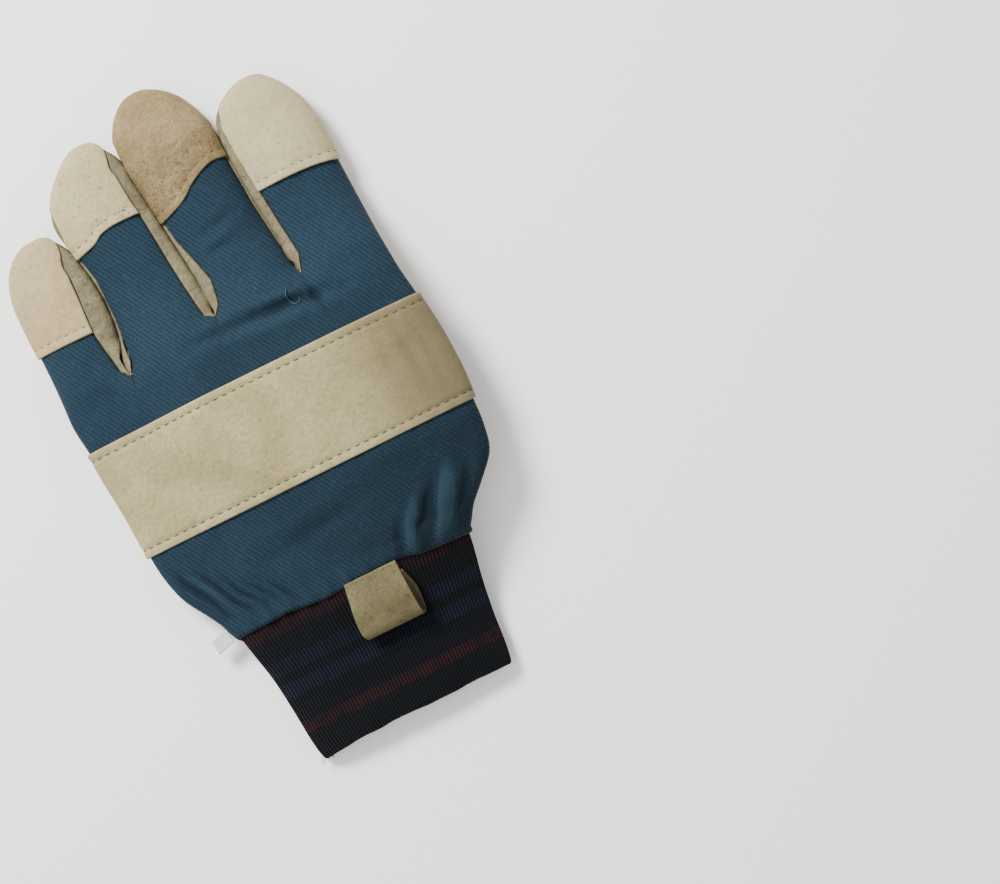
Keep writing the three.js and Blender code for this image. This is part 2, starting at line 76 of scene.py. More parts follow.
# The knit's hem turns at this y, its ribs are counted at the middle, and it ends inside the cloth
CUFF_HEM = 1.2
CUFF_MIDDLE = 30.0
CUFF_END = 63
KNUCKLES = {
    "x": (-60, -31, 9.1, 47, 82),
    "y": (166, 168, 174, 174.5, 172),
    "before": 9.0,
    "past": 5.0,
}
UP, DOWN = (0, 0, 1), (0, 0, -1)
# A hair past the angle of an edge, so that the point counts as under it
UNDER = 1e-6
# The cloth's lower edge, the row where hand and finger grids meet, and the row of the palm's cross seam
CLOTH_LOW = 57.0
PARTING_ROW = 174.0
CROSS_SEAM = 168.0
# Angle by which the outer side of the little finger is carried under, and the cloth's reach under a cap
LITTLE_WRAP = 0.93
CAP_OVERLAP = 5
CAP_LEVEL = 225.0
BAND = (100.5, 147.5)
BAND_WRAP = 0.34
LOOP = {
    "low": 33.4,
    "fold": 36.9,
    "high": 57.2,
    "clear": 2.2,
    "rise": 5.6,
    "left": (7.3, 5.1, 6.8, 8.2, 9.0),
    "right": (29.8, 30.5, 31.6, 32.8, 33.2, 31.0),
}
TAG = {"x": -42.5, "y": 62.2, "long": 7.5, "wide": 6}
RIB_PITCH = 1.38
# Rows and columns of each surface's grid
GRIDS = {
    "hand": (104, 46),
    "finger": (60, 46),
    "cap": (64, 52),
    "strip": (96, 26),
    "band": (70, 190),
    "patch": (90, 90),
    "hem": (26, 90),
    "thumb": (110, 60),
    "fold": (74, 44),
    "loop": (70, 34),
    "tag": (10, 14),
}
FRONT_COLUMNS = 34
# Points of a line of sewing on the palm, and the cuff's columns for each rib
SEAM_POINTS = 160
PER_RIB = 8
# Points closer than this are one point, and edges shorter than this are none, in m
WELD = 2e-6
NO_LENGTH = 1e-7


def columns(names, *rows):
    """A table as one array for each named column."""
    return dict(zip(names.split(), np.array(rows, float).T))


HAND = columns(
    "y left right bottom top",
    (56.2, -39.3, 61.6, 0.5, 13.4),
    (62, -42.2, 66, 0.1, 14),
    (70, -46.8, 74, -0.3, 14.6),
    (79, -52.2, 82, -0.6, 15),
    (89, -55.3, 84.7, -0.8, 15.2),
    (100.5, -56.8, 85.5, -0.8, 15.4),
    (116, -57.4, 86.3, -0.8, 15.6),
    (132, -58.7, 85.6, -0.8, 15.5),
    (147.5, -60.1, 83.8, -0.8, 15.2),
    (160, -61.5, 82, -0.8, 15),
    (176, -60.9, 80.8, -0.5, 14.8),
)
FINGERS = {
    "little": columns(
        "y left right bottom top",
        (176.5, -60.9, -31.1, -0.7, 14.9),
        (190, -60.9, -29, -0.8, 15.4),
        (204, -60.9, -28.8, -0.8, 15.4),
        (215, -60.2, -30.4, -0.6, 14.8),
        (224, -57.2, -32.6, 0.8, 13.6),
        (230, -52.4, -36.2, 3, 11.6),
        (232.6, -47.9, -39.3, 5.4, 9.2),
        (233.2, -43.6, -43.6, 7.3, 7.3),
    ),
    "ring": columns(
        "y left right bottom top",
        (177, -29.4, 8.5, -0.7, 15.2),
        (190, -28, 7.9, -0.8, 15.8),
        (208, -28, 5.9, -0.8, 16.2),
        (225, -31.5, 4, -0.8, 16.2),
        (236, -32.5, 2.7, -0.8, 15.8),
        (246, -28, 1.6, 0.6, 14.4),
        (253.5, -21, -2.2, 2.8, 12.2),
        (258.1, -14.8, -6.4, 5.4, 9.4),
        (258.8, -10.6, -10.6, 7.4, 7.4),
    ),
    "middle": columns(
        "y left right bottom top",
        (178, 9.5, 45.5, -0.7, 15.3),
        (190, 8.8, 43.9, -0.8, 16),
        (208, 6.8, 41.8, -0.8, 16.8),
        (228, 4.9, 40.6, -0.8, 17),
        (242, 3.1, 39.9, -0.8, 16.6),
        (253, 3.2, 36.4, 0, 15.4),
        (261.5, 7.4, 31, 2.4, 13),
        (267.2, 14.2, 22.8, 5.6, 9.6),
        (268, 18.6, 18.6, 7.6, 7.6),
    ),
    "index": columns(
        "y left right bottom top",
        (178, 46.4, 80.7, -0.7, 15.1),
        (190, 44.7, 80.2, -0.8, 15.8),
        (208, 42.8, 79.5, -0.8, 16.4),
        (225, 41.5, 78.8, -0.8, 16.4),
        (237, 41.6, 76.5, -0.6, 15.6),
        (246, 44.6, 71.8, 1.4, 13.8),
        (251.2, 51, 67.4, 3.6, 11.4),
        (253.5, 56, 64.4, 5.5, 9.5),
        (254.1, 60.3, 60.3, 7.5, 7.5),
    ),
}
NAMES = tuple(FINGERS)
# Points where two fingers part, and the ends of the hand's own edges: x, y
CROTCHES = ((None, 160.0), (-31.0, 168.0), (9.1, 174.0), (47.0, 174.5), (None, 160.0))

# Where the back's leather or cloth ends on a finger and its side strip starts: y, x
BACK_SEAMS = {
    ("little", 1): (
        (168, -31), (171, -34.4), (190, -37.4), (205, -36.6), (215, -36.4), (224, -38), (230, -41),
    ),
    ("ring", 0): ((168, -31), (173, -28.8), (190, -27.6), (208, -27.5), (225, -31.2), (240, -31)),
    ("ring", 1): (
        (174, 9.1), (176, 5.2), (190, 3.2), (203, 1.7), (220, 0.3), (230, -1.4), (242, -2.4), (253, -6),
    ),
    ("middle", 0): ((174, 9.1), (178, 12.2), (188, 13.6), (195, 11.7), (208, 7.6), (225, 5.2), (242, 3.3)),
    ("middle", 1): ((174.5, 47), (180, 45), (208, 41.5), (225, 40.4), (242, 39.6)),
    ("index", 0): ((174.5, 47), (182, 49.2), (198, 47.2), (215, 45.6), (228, 44.4), (240, 44), (248, 48)),
}
# Lower edge of the cloth where it meets the cuff
CLOTH_EDGE = columns(
    "x y",
    (-40, 53.6),
    (-32, 56.4),
    (-15, 57.4),
    (-2, 55.4),
    (14, 56.6),
    (30, 56.8),
    (47, 54.6),
    (62, 53.6),
)
# Lower edges of the leather caps: x, y
CAP_EDGES = {
    "little": ((-75, 190.4), (-40, 190), (-28.6, 189.8)),
    "ring": ((-31, 218.4), (-21.7, 220.8), (-17.2, 223.2), (4.5, 224.3)),
    "middle": ((5.3, 216.5), (16.7, 220.8), (26.7, 226.7), (34.2, 229.7), (41, 229.3)),
    "index": ((42, 211), (71.7, 210.3), (92, 206)),
}
CUFF = columns(
    "y left right bottom top",
    (0, -30.4, 53, -0.6, 9.6),
    (5, -31.7, 54, -0.8, 10.6),
    (22, -33.4, 55.6, -0.8, 11),
    (36, -35, 57.6, -0.6, 11.6),
    (49, -37.6, 60.2, 0.1, 12.8),
    (56, -39, 61.2, 0.4, 13.2),
    (64, -40, 62.2, 0.8, 13.2),
)
THUMB = columns(
    "crease_x crease_y ridge_x ridge_y bottom top",
    (-8, 167.2, -5, 168.4, 5.4, 5.6),
    (-10.4, 165, -1, 169.2, 2.4, 8.4),
    (-15.2, 157, 11, 168.6, 0.2, 10.6),
    (-15.8, 146, 24, 162, -0.8, 11.6),
    (-11.8, 133, 40, 153.5, -0.8, 11.8),
    (-1.5, 119.5, 58, 143.6, -0.8, 11.8),
    (9, 105, 74.5, 134, -0.8, 11.8),
    (19.5, 91, 82, 118, -0.8, 11.8),
    (27, 76.5, 80.5, 95.5, -0.8, 11.8),
    (30.5, 66, 72.5, 77.5, -0.6, 10.8),
    (32, 57, 61, 63, 0, 8.4),
    (40, 52.5, 51, 56, 1.2, 5.6),
)
FOLD = columns(
    "y left right bottom top",
    (60, 52, 62, 3, 7),
    (70, 57, 71.6, 0.8, 9.6),
    (79, 64, 79.6, 0.2, 10.8),
    (89, 67.6, 83.4, 0.1, 11),
    (101, 69, 84.9, 0.1, 11),
    (115, 69.6, 85.6, 0.1, 11),
    (125, 69.4, 84.9, 0.6, 10.6),
    (131, 73, 82.6, 4, 7),
)
# Soft rolls and creases of the back: middle x, y, heading in degrees, half length, half width, height
ROLLS = columns(
    "x y heading length width height",
    (7, 167.6, -2, 14, 2.4, -1.5),
    (36, 165.6, -6, 19, 2.4, -3.0),
    (34, 160.6, -5, 24, 4.0, 1.1),
    (34, 170.6, -6, 14, 2.6, 1.0),
    (22, 197, 3, 9, 2.1, -0.7),
    (22, 201.4, 6, 10, 3, 0.6),
    (27, 207, 14, 9, 2.4, -0.8),
    (49.5, 162, 106, 8, 1.8, -1.7),
    (54, 163, 106, 9, 3, 0.5),
    (62, 186, 100, 14, 3, -0.4),
    (-20, 158, 70, 16, 8, -0.6),
    (-20, 196, 96, 20, 4, -0.4),
    (-45, 79, 119, 15, 1.6, -1.1),
    (-41, 78, 119, 15, 1.8, 0.7),
    (-37, 76, 120, 15, 1.6, -1.3),
    (-33.5, 75, 121, 14, 1.8, 0.8),
    (-30, 73, 122, 14, 1.7, -1.2),
    (-26.5, 72, 123, 13, 1.9, 0.7),
    (-23, 70, 124, 12, 1.7, -1.0),
    (-19, 68, 126, 11, 2.0, 0.5),
    (-15, 66, 128, 10, 1.8, -0.8),
    (48, 65, 57, 13, 2.3, -2.3),
    (42, 66, 60, 12, 3.2, 0.9),
    (57, 69, 57, 14, 3.4, 1.2),
    (66, 69, 58, 12, 2.2, -2.0),
    (72, 76, 60, 10, 3, 0.6),
    (34, 62, 66, 8, 2.2, -1.0),
    (10, 84, 8, 26, 4, -0.6),
    (12, 90, 6, 24, 4, 0.4),
    (72, 130, 94, 15, 2.2, -0.9),
    (67.5, 128, 93, 16, 2.8, 0.5),
    (63, 126, 92, 14, 2, -0.5),
    (79, 124, 96, 12, 2, -0.6),
    (58, 168, 118, 10, 3, -0.6),
)

# Rolls and creases of the palm's suede, in the same columns
PALM_ROLLS = columns(
    "x y heading length width height",
    (-25, 139, 58, 17, 2.4, -1.0),
    (-30, 143, 58, 16, 3.4, 0.8),
    (-20, 134, 58, 14, 3.4, 0.7),
    (-34, 152, 8, 14, 3, -0.5),
    (-30, 100, 120, 16, 5, 0.5),
    (-12, 92, 100, 18, 3, -0.6),
    (24, 158, -24, 16, 2.6, -0.7),
)
# Double rows of sewing on the patch: x, y along each row, and the second row's shift
PALM_ROWS = (
    (((-51.5, 157.2), (-22, 160.4), (-18.5, 162.8), (13, 161.8), (35, 157), (58, 141)), (0.0, -2.7)),
    (((-44, 147), (-10, 122), (-46, 82)), (-3.4, 0.0)),
    (((-43.6, 70.6), (-22, 66.7), (2, 70.6)), (0.0, 2.7)),
)
# Rows of sewing on the thumb's sole: station and share across at each end
THUMB_ROWS = (((3.6, -0.05), (8.2, -0.3)), ((3.6, 0.05), (8.2, -0.18)), ((4.4, 0.45), (7.4, 0.5)))


# The loose thread's curl, and ends frayed out of the cuff's corner: start along the hem, heading, length
CURL = columns(
    "at x y",
    (0, 39.2, 172.0),
    (0.3, 37.6, 168.6),
    (0.65, 39.0, 164.8),
    (0.85, 41.4, 164.6),
    (1, 42.0, 166.6),
)
FRAYS = columns(
    "start heading length",
    (-0.6, 200, 2.2),
    (0.2, 236, 2.6),
    (1.2, 262, 2.0),
    (2.0, 285, 1.6),
    (-0.9, 170, 1.4),
    (3.2, 240, 1.3),
)


def smoothstep(value, low, high):
    """0 below low, 1 above high, and 3t^2 - 2t^3 between."""
    t = np.clip((value - low) / (high - low), 0, 1)
    return t * t * (3 - 2 * t)


def lerp(a, b, t):
    """From a to b by share: a + (b - a) * t."""
    return a + (b - a) * t


def smooth(knots, values, at):
    """Cubic through the knots, each sloped by the mean of the chords beside it. Flat past the ends."""
    knots, values = np.asarray(knots, float), np.asarray(values, float)
    chords = np.diff(values) / np.diff(knots)
    slopes = np.concatenate([chords[:1], (chords[1:] + chords[:-1]) / 2, chords[-1:]])
    at = np.clip(at, knots[0], knots[-1])
    i = np.clip(np.searchsorted(knots, at, side="right") - 1, 0, len(knots) - 2)
    step = knots[i + 1] - knots[i]
    t = (at - knots[i]) / step
    start = values[i] * (1 + 2 * t) * (1 - t) ** 2 + slopes[i] * step * t * (1 - t) ** 2
    return start + values[i + 1] * t * t * (3 - 2 * t) + slopes[i + 1] * step * t * t * (t - 1)


def section(table, knots, at):
    """Every column of a table, read by the same cubic at the same places."""
    return {key: smooth(knots, column, at) for key, column in table.items()}


def run_length(points):
    """Distance along a line of points from its first one."""
    return np.r_[0, np.linalg.norm(np.diff(points, axis=0), axis=1).cumsum()]


def read_line(points, share):
    """Points of a drawn line at shares of its length."""
    points = np.array(points, float)
    reach = run_length(points)
    return np.stack([np.interp(share * reach[-1], reach, column) for column in points.T], -1)


def noise(x, y, size, seed=0, octaves=2):
    """Smooth noise from -1 to 1: hashed values at the corners of a grid, blended by smoothsteps.

    The grid has the given size in mm, and each further octave halves the size and the strength.
    """
    total = np.zeros(np.broadcast(x, y).shape)
    for octave in range(octaves):
        across, along = x / size * 2**octave + 7.3 * seed, y / size * 2**octave - 3.1 * seed
        i, j = np.floor(across), np.floor(along)
        f, g = smoothstep(across - i, 0, 1), smoothstep(along - j, 0, 1)
        corner = lambda a, b: np.modf(np.sin(a * 127.1 + b * 311.7 + seed * 74.7) * 43758.5453)[0]
        low = lerp(corner(i, j), corner(i + 1, j), f)
        high = lerp(corner(i, j + 1), corner(i + 1, j + 1), f)
        total = total + lerp(low, high, g) / 2**octave
    return total / 1.5


def lift(x, y):
    """Height of the palm's underside: it rises over the folded thumb and over the patch by smoothsteps."""
    crease = lerp(30, -15, smoothstep(y, 55, 150))
    thumb = smoothstep(x, crease - 28, crease + 8) * smoothstep(y, 20, 74) * (1 - smoothstep(y, 160, 206))
    patch = smoothstep(y, 28, 50) * (1 - smoothstep(y, 165, 190))
    return THUMB_LIFT * thumb + PATCH_LIFT * patch


def rolls(x, y, table=None):
    """Sum of soft rolls, each turned to its heading: height * exp(-(along/length)^2 - (across/width)^2)."""
    table = table or ROLLS
    turn = np.radians(table["heading"])
    x, y = x + 1.3 * noise(x, y, 9, 91), y + 1.3 * noise(x, y, 8, 93)
    x, y = x[..., None] - table["x"], y[..., None] - table["y"]
    along = x * np.cos(turn) + y * np.sin(turn)
    across = y * np.cos(turn) - x * np.sin(turn)
    bump = np.exp(-((along / table["length"]) ** 2) - (across / table["width"]) ** 2)
    return (table["height"] * bump).sum(-1)


def cloth_relief(x, y):
    """Rolls, slow waves, and gathers that run up from the cuff and fade with height."""
    gathers = np.cos(2 * np.pi * (x + 3 * noise(x, y, 20, 5)) / 8.5) * np.exp(-np.abs(y - 57) / 7)
    total = rolls(x, y) + 0.7 * noise(x, y, 24, 3) + 0.25 * noise(x, y, 9, 7) + 0.45 * gathers
    return np.maximum(total, -0.3 - 3.5 * smoothstep(y, 61, 72))


def oval(u, power):
    """Height of the unit oval |u|^p + |v|^p = 1 at u."""
    return (1 - np.clip(np.abs(u), 0, 1) ** power) ** (1 / power)


def around(angle, power):
    """The unit oval by angle: -cos(angle) across, 1 on the upper side or -1 under, and the height."""
    u = -np.cos(angle)
    return u, np.where(np.sin(angle) > -1e-9, 1, -1), oval(u, power)


def outward(u, v, half, high, power):
    """Unit direction square to an oval: u and v to the power, each over its own half size."""
    out = np.stack([np.sign(u) * np.abs(u) ** power / half, v**power / high])
    return out / np.linalg.norm(out, axis=0)


def above_floor(z):
    """The height with a soft knee that keeps it over the floor: (z + sqrt(z^2 + 0.16)) / 2."""
    return (z + np.sqrt(z * z + 0.16)) / 2


def oval_size(table, y):
    """Middle x, half width, middle height and half height of the hand or the cuff at y."""
    at = section(table, table["y"], y)
    left, right, bottom, top = at["left"], at["right"], at["bottom"], at["top"]
    return (left + right) / 2, (right - left) / 2, (bottom + top) / 2, (top - bottom) / 2


def hand_size(y):
    """Middle x, half width, middle height and half height of the hand at y."""
    return oval_size(HAND, y)


def stations(rows):
    """Distance along a finger at each of its sections, by y and half width together."""
    steps = np.hypot(np.diff(rows["y"]), np.diff(rows["right"] - rows["left"]) / 2)
    return rows["y"][0] + np.concatenate([[0], np.cumsum(steps)])


def tip_station(name):
    """The last station of a finger, at its tip."""
    return stations(FINGERS[name])[-1]


def crotch_y(name, side):
    """The y where a finger parts from its neighbour on the left, 0, or on the right, 1."""
    return CROTCHES[NAMES.index(name) + side][1]


def edge_x(name, side, s):
    """A finger's plan edge: a fixed share of the hand's width below the crotch, the finger's own above."""
    corner = NAMES.index(name) + side
    x, y = CROTCHES[corner]
    centre, half, _, _ = hand_size(np.array(y))
    share = (side * 2 - 1) if x is None else (x - centre) / half
    rows = FINGERS[name]
    own = smooth([y, *stations(rows)], [centre + share * half, *rows["right" if side else "left"]], s)
    centre, half, _, _ = hand_size(s)
    return np.where(s <= y, centre + share * half, own)


def station_y(name, s):
    """The y of a station: the same below the finger, read off its sections above."""
    rows = FINGERS[name]
    return np.where(s <= rows["y"][0], s, smooth(stations(rows), rows["y"], s))


def glove(name, s, angle, offset=0.0, relief=None):
    """Point of one finger's strip of the glove, from the wrist to the tip.

    u = -cos(angle) runs across the strip, over the top where the sine is positive and under where it
    is negative. The height is the middle height plus half the thickness times v, and v passes from the
    whole hand's oval to the finger's own oval over the knuckles. The offset is along the oval's normal.
    """
    s, angle, offset = np.broadcast_arrays(s, angle, offset)
    y = station_y(name, s)
    left, right = edge_x(name, 0, s), edge_x(name, 1, s)
    u, side, own_v = around(angle, FINGER_POWER)
    half = (right - left) / 2
    x = (left + right) / 2 + half * u
    centre, hand_half, hand_mid, hand_high = hand_size(y)
    across = np.clip((x - centre) / hand_half, -1, 1)
    rows = FINGERS[name]
    bottom, top = (smooth(stations(rows), rows[key], s) for key in ("bottom", "top"))
    parting = np.interp(x, KNUCKLES["x"], KNUCKLES["y"])
    own = smoothstep(y - parting, -KNUCKLES["before"], KNUCKLES["past"]) ** 2
    high = lerp(hand_high, (top - bottom) / 2, own)
    v = lerp(oval(across, HAND_POWER), own_v, own)
    z = lerp(hand_mid, (top + bottom) / 2, own) + side * high * v
    free = smoothstep(y, 175, 183)
    deep = np.maximum(high, 0.5)
    out_hand = outward(across, v, hand_half, deep, HAND_POWER - 1)
    out_own = outward(u, v, np.maximum(half, 1), deep, FINGER_POWER - 1)
    out = lerp(out_hand, out_own, free)
    blunt = smoothstep(half, 0, 6)
    z = z + side * offset * out[1] * blunt
    z = np.where(side < 0, above_floor(z), z) + lift(x, y)
    x, y = x + offset * out[0] * blunt, y + offset * (1 - blunt)
    if relief is not None:
        z = z + np.where(side > 0, v * relief(x, y) * blunt, 0)
    return np.stack([x, y, z], -1)


def crowded(count, crowd=0.85):
    """Numbers from 0 to 1 that crowd towards both ends: t - crowd * sin(2 pi t) / (2 pi)."""
    t = np.linspace(0, 1, count)
    return t - crowd * np.sin(2 * np.pi * t) / (2 * np.pi)


def margins(points):
    """Distance along the surface from a grid's first row, last row, first column and last column."""
    rows = np.linalg.norm(np.diff(points, axis=0), axis=2).cumsum(0)
    rows = np.vstack([np.zeros((1, rows.shape[1])), rows])
    cols = np.linalg.norm(np.diff(points, axis=1), axis=2).cumsum(1)
    cols = np.hstack([np.zeros((cols.shape[0], 1)), cols])
    return rows, rows[-1] - rows, cols, cols[:, -1:] - cols


def rolled(distance, radius):
    """Drop of a quarter-round edge: the radius at the edge itself, nothing past the radius."""
    inside = np.clip(radius - distance, 0, radius)
    return radius - np.sqrt(radius**2 - inside**2)


def seam_angle(name, side, s):
    """Angle on a finger where its back ends: the strip's edge below the crotch, the drawn seam above."""
    y = station_y(name, s)
    edge = np.pi * side
    if (name, side) not in BACK_SEAMS:
        return np.full(np.shape(s), edge)
    seam_y, seam_x = np.array(BACK_SEAMS[name, side]).T
    left, right = edge_x(name, 0, s), edge_x(name, 1, s)
    x = np.interp(y, seam_y, seam_x)
    u = np.clip((2 * x - left - right) / (right - left), -0.999, 0.999)
    angle = np.arccos(-u)
    tip = smoothstep(s, tip_station(name) - 24, tip_station(name) - 2)
    return np.where(y <= seam_y[0], edge, lerp(angle, edge, tip))


def back_start(name, s):
    """Angle where a finger's back starts: its left seam, or under the little finger except near its tip."""
    if name != "little":
        return seam_angle(name, 0, s)
    return -LITTLE_WRAP * (1 - smoothstep(s, tip_station(name) - 30, tip_station(name) - 8))


def strip_low(name, side, s):
    """Angle past the edge where a side strip ends on the palm side."""
    tip = 1 - smoothstep(s, tip_station(name) - 14, tip_station(name) - 2)
    return 0.36 * smoothstep(station_y(name, s), crotch_y(name, side), 182) * tip


def new_piece(name, grids, material, nodes=(), wall=WALL, facing=None, ring=False):
    """A mesh from grids of points in drawing mm, sewn where they meet, with an even wall inside it.

    Four neighbouring points of a grid make one face. Each grid's first two columns of extra values, if
    given as a pair (points, values), become the piece's map.
    """
    verts, faces, maps, start = [], [], [], 0
    for grid in grids:
        points, values = grid if isinstance(grid, tuple) else (grid, np.zeros(grid.shape[:2] + (2,)))
        n, m = points.shape[:2]
        index = np.arange(n * m).reshape(n, m) + start
        if ring:
            index = np.hstack([index, index[:, :1]])
        quads = np.stack([index[:-1, :-1], index[1:, :-1], index[1:, 1:], index[:-1, 1:]], -1)
        verts.append(points.reshape(-1, 3))
        maps.append(values.reshape(-1, 2))
        faces.append(quads.reshape(-1, 4))
        start += n * m
    verts = (np.concatenate(verts) - MIDDLE) * MM
    faces, maps = np.concatenate(faces), np.concatenate(maps)
    mesh = bpy.data.meshes.new(name)
    mesh.from_pydata(verts.tolist(), [], faces.tolist())
    layer = mesh.uv_layers.new(name="surface")
    corner = np.empty(len(mesh.loops), dtype=np.int32)
    mesh.loops.foreach_get("vertex_index", corner)
    layer.data.foreach_set("uv", maps[corner].ravel().astype(np.float32))
    shape = bmesh.new()
    shape.from_mesh(mesh)
    bmesh.ops.remove_doubles(shape, verts=shape.verts, dist=WELD)
    bmesh.ops.dissolve_degenerate(shape, edges=shape.edges, dist=NO_LENGTH)
    if facing is None:
        inside_out = shape.calc_volume(signed=True) < 0
    else:
        inside_out = sum(face.normal.dot(Vector(facing)) * face.calc_area() for face in shape.faces) < 0
    if inside_out:
        bmesh.ops.reverse_faces(shape, faces=shape.faces)
    shape.to_mesh(mesh)
    shape.free()
    mesh.polygons.foreach_set("use_smooth", np.ones(len(mesh.polygons), dtype=bool))
    mesh.materials.append(MATERIALS[material])
    piece = bpy.data.objects.new(name, mesh)
    bpy.context.scene.collection.objects.link(piece)
    if wall:
        thick = piece.modifiers.new("wall", "SOLIDIFY")
        thick.thickness = wall * MM
        thick.offset = -1
    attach(piece, "root")
    if nodes:
        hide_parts(*nodes)
    return piece


def stitches(path, pitch=STITCH["pitch"], length=STITCH["length"], radius=STITCH["radius"]):
    """Short round-ended threads along a path on an upward-facing surface.

    Centres stand one pitch apart by arc length. Each thread is rings of radius r * sqrt(1 - t^2) at t
    along its half length, carried into the path's direction, its side and the surface's normal.
    """
    whole = run_length(path)[-1]
    at = np.arange(pitch / 2, whole - length / 2, pitch)
    pick = lambda where: read_line(path, where / whole)
    centre, ahead = pick(at), pick(at + length / 2) - pick(at - length / 2)
    ahead /= np.linalg.norm(ahead, axis=1, keepdims=True)
    wobble = 0.09 * np.stack([np.sin(at * 5.1), np.cos(at * 3.7), np.zeros_like(at)], -1)
    ahead = ahead + wobble
    ahead /= np.linalg.norm(ahead, axis=1, keepdims=True)
    side = np.cross(ahead, [0, 0, 1.0])
    side /= np.linalg.norm(side, axis=1, keepdims=True)
    up = np.cross(side, ahead)
    t = np.array([-1, -0.86, -0.5, 0, 0.5, 0.86, 1])
    turn = np.linspace(0, 2 * np.pi, 8, endpoint=False)
    r = radius * np.sqrt(1 - t[:, None] ** 2) + 0.01
    local = np.stack(np.broadcast_arrays(t[:, None] * length / 2, r * np.cos(turn), r * np.sin(turn)), -1)
    frames = np.stack([ahead, side, up], 1)
    return np.einsum("rsk,ckj->crsj", local, frames) + centre[:, None, None, :]


def sewing(name, runs, material):
    """All the stitches of one seam as one mesh of closed threads."""
    new_piece(name, [thread for run in runs for thread in run], material, wall=0, ring=True)


class Shade:
    """A shader socket. Arithmetic with it adds a Math node, or a Vector Math node where vectors meet."""

    def __init__(self, finish, socket):
        self.finish, self.socket = finish, socket

    def __add__(self, other):
        return self.finish.math("ADD", self, other)

    def __sub__(self, other):
        return self.finish.math("SUBTRACT", self, other)

    def __rsub__(self, other):
        return self.finish.math("SUBTRACT", other, self)

    def __mul__(self, other):
        return self.finish.math("MULTIPLY", self, other)

    def __truediv__(self, other):
        return self.finish.math("DIVIDE", self, other)

    __radd__, __rmul__ = __add__, __mul__


class Finish:
    """One material: a Principled surface whose colour, roughness and bump come from nodes."""

    def __init__(self, name, **constants):
        self.material = bpy.data.materials.new(name)
        self.material.use_nodes = True
        self.tree = self.material.node_tree
        self.skin = self.tree.nodes["Principled BSDF"]
        for socket, value in constants.items():
            self.skin.inputs[socket.replace("_", " ")].default_value = value
        drawn = self.node("TexCoord", out="Object") * 1000.0
        self.place = drawn + tuple(MIDDLE)

    def feed(self, socket, value):
        """Links a shade to a socket, or writes a constant into it."""
        if isinstance(value, Shade):
            self.tree.links.new(value.socket, socket)
        elif isinstance(value, tuple) and len(socket.default_value) > len(value):
            socket.default_value = (*value, 1.0)
        else:
            socket.default_value = value

    def node(self, kind, sockets=None, out=0, **settings):
        """A new node with its settings and inputs, as the shade of one output."""
        node = self.tree.nodes.new("ShaderNode" + kind)
        for setting, value in settings.items():
            setattr(node, setting, value)
        for socket, value in (sockets or {}).items():
            self.feed(node.inputs[socket], value)
        return Shade(self, node.outputs[out])

    def math(self, operation, *values):
        """One operation on numbers, or on vectors if any value is a vector."""
        is_vector = lambda v: isinstance(v, tuple) or isinstance(v, Shade) and v.socket.type == "VECTOR"
        vector = any(map(is_vector, values))
        if vector:
            values = [(v, v, v) if isinstance(v, (int, float)) else v for v in values]
        return self.node("VectorMath" if vector else "Math", dict(enumerate(values)), operation=operation)

    def mix(self, factor, a, b):
        """Colour a at factor 0 and colour b at factor 1."""
        return self.node("Mix", {0: factor, 6: a, 7: b}, out=2, data_type="RGBA")

    def step(self, value, low, high):
        """0 at low and under, 1 at high and over, smooth between."""
        sockets = {"Value": value, "From Min": low, "From Max": high}
        return self.node("MapRange", sockets, interpolation_type="SMOOTHSTEP")

    def noise(self, size, detail=2.0, roughness=0.5, place=None, distortion=0.0):
        """Noise from 0 to 1 whose waves are about the size in mm."""
        sockets = {"Vector": place or self.place, "Scale": 1 / size, "Detail": detail}
        return self.node("TexNoise", {**sockets, "Roughness": roughness, "Distortion": distortion})

    def cells(self, size, feature="F1", place=None):
        """Distance to the nearest of scattered points, or to the edge between their cells."""
        sockets = {"Vector": place or self.place, "Scale": 1 / size}
        return self.node("TexVoronoi", sockets, feature=feature)

    def axes(self, vector=None):
        """The x, y and z of a vector, or of the place in drawing mm."""
        split = self.node("SeparateXYZ", {0: vector or self.place}).socket.node
        return [Shade(self, socket) for socket in split.outputs]

    def turned(self, degrees):
        """The place turned back by a heading, so that x runs along it."""
        sockets = {"Vector": self.place, "Angle": -math.radians(degrees)}
        return self.node("VectorRotate", sockets, rotation_type="Z_AXIS")

    def stretched(self, degrees, across, along):
        """Coordinates turned so that a pattern is drawn out along a heading."""
        return self.turned(degrees) * (1 / along, 1 / across, 1 / across)

    def done(self, colour, roughness, height, depth=0.25, strength=0.6):
        """Feeds colour, roughness and a bump of that depth in mm to the surface."""
        bump = self.node("Bump", {"Strength": strength, "Distance": depth * MM, "Height": height})
        for socket, value in (("Base Color", colour), ("Roughness", roughness), ("Normal", bump)):
            self.feed(self.skin.inputs[socket], value)
        return self.material


def tinted(colour, share):
    """A colour times a share, held at 1."""
    return tuple(min(1.0, share * c) for c in colour)


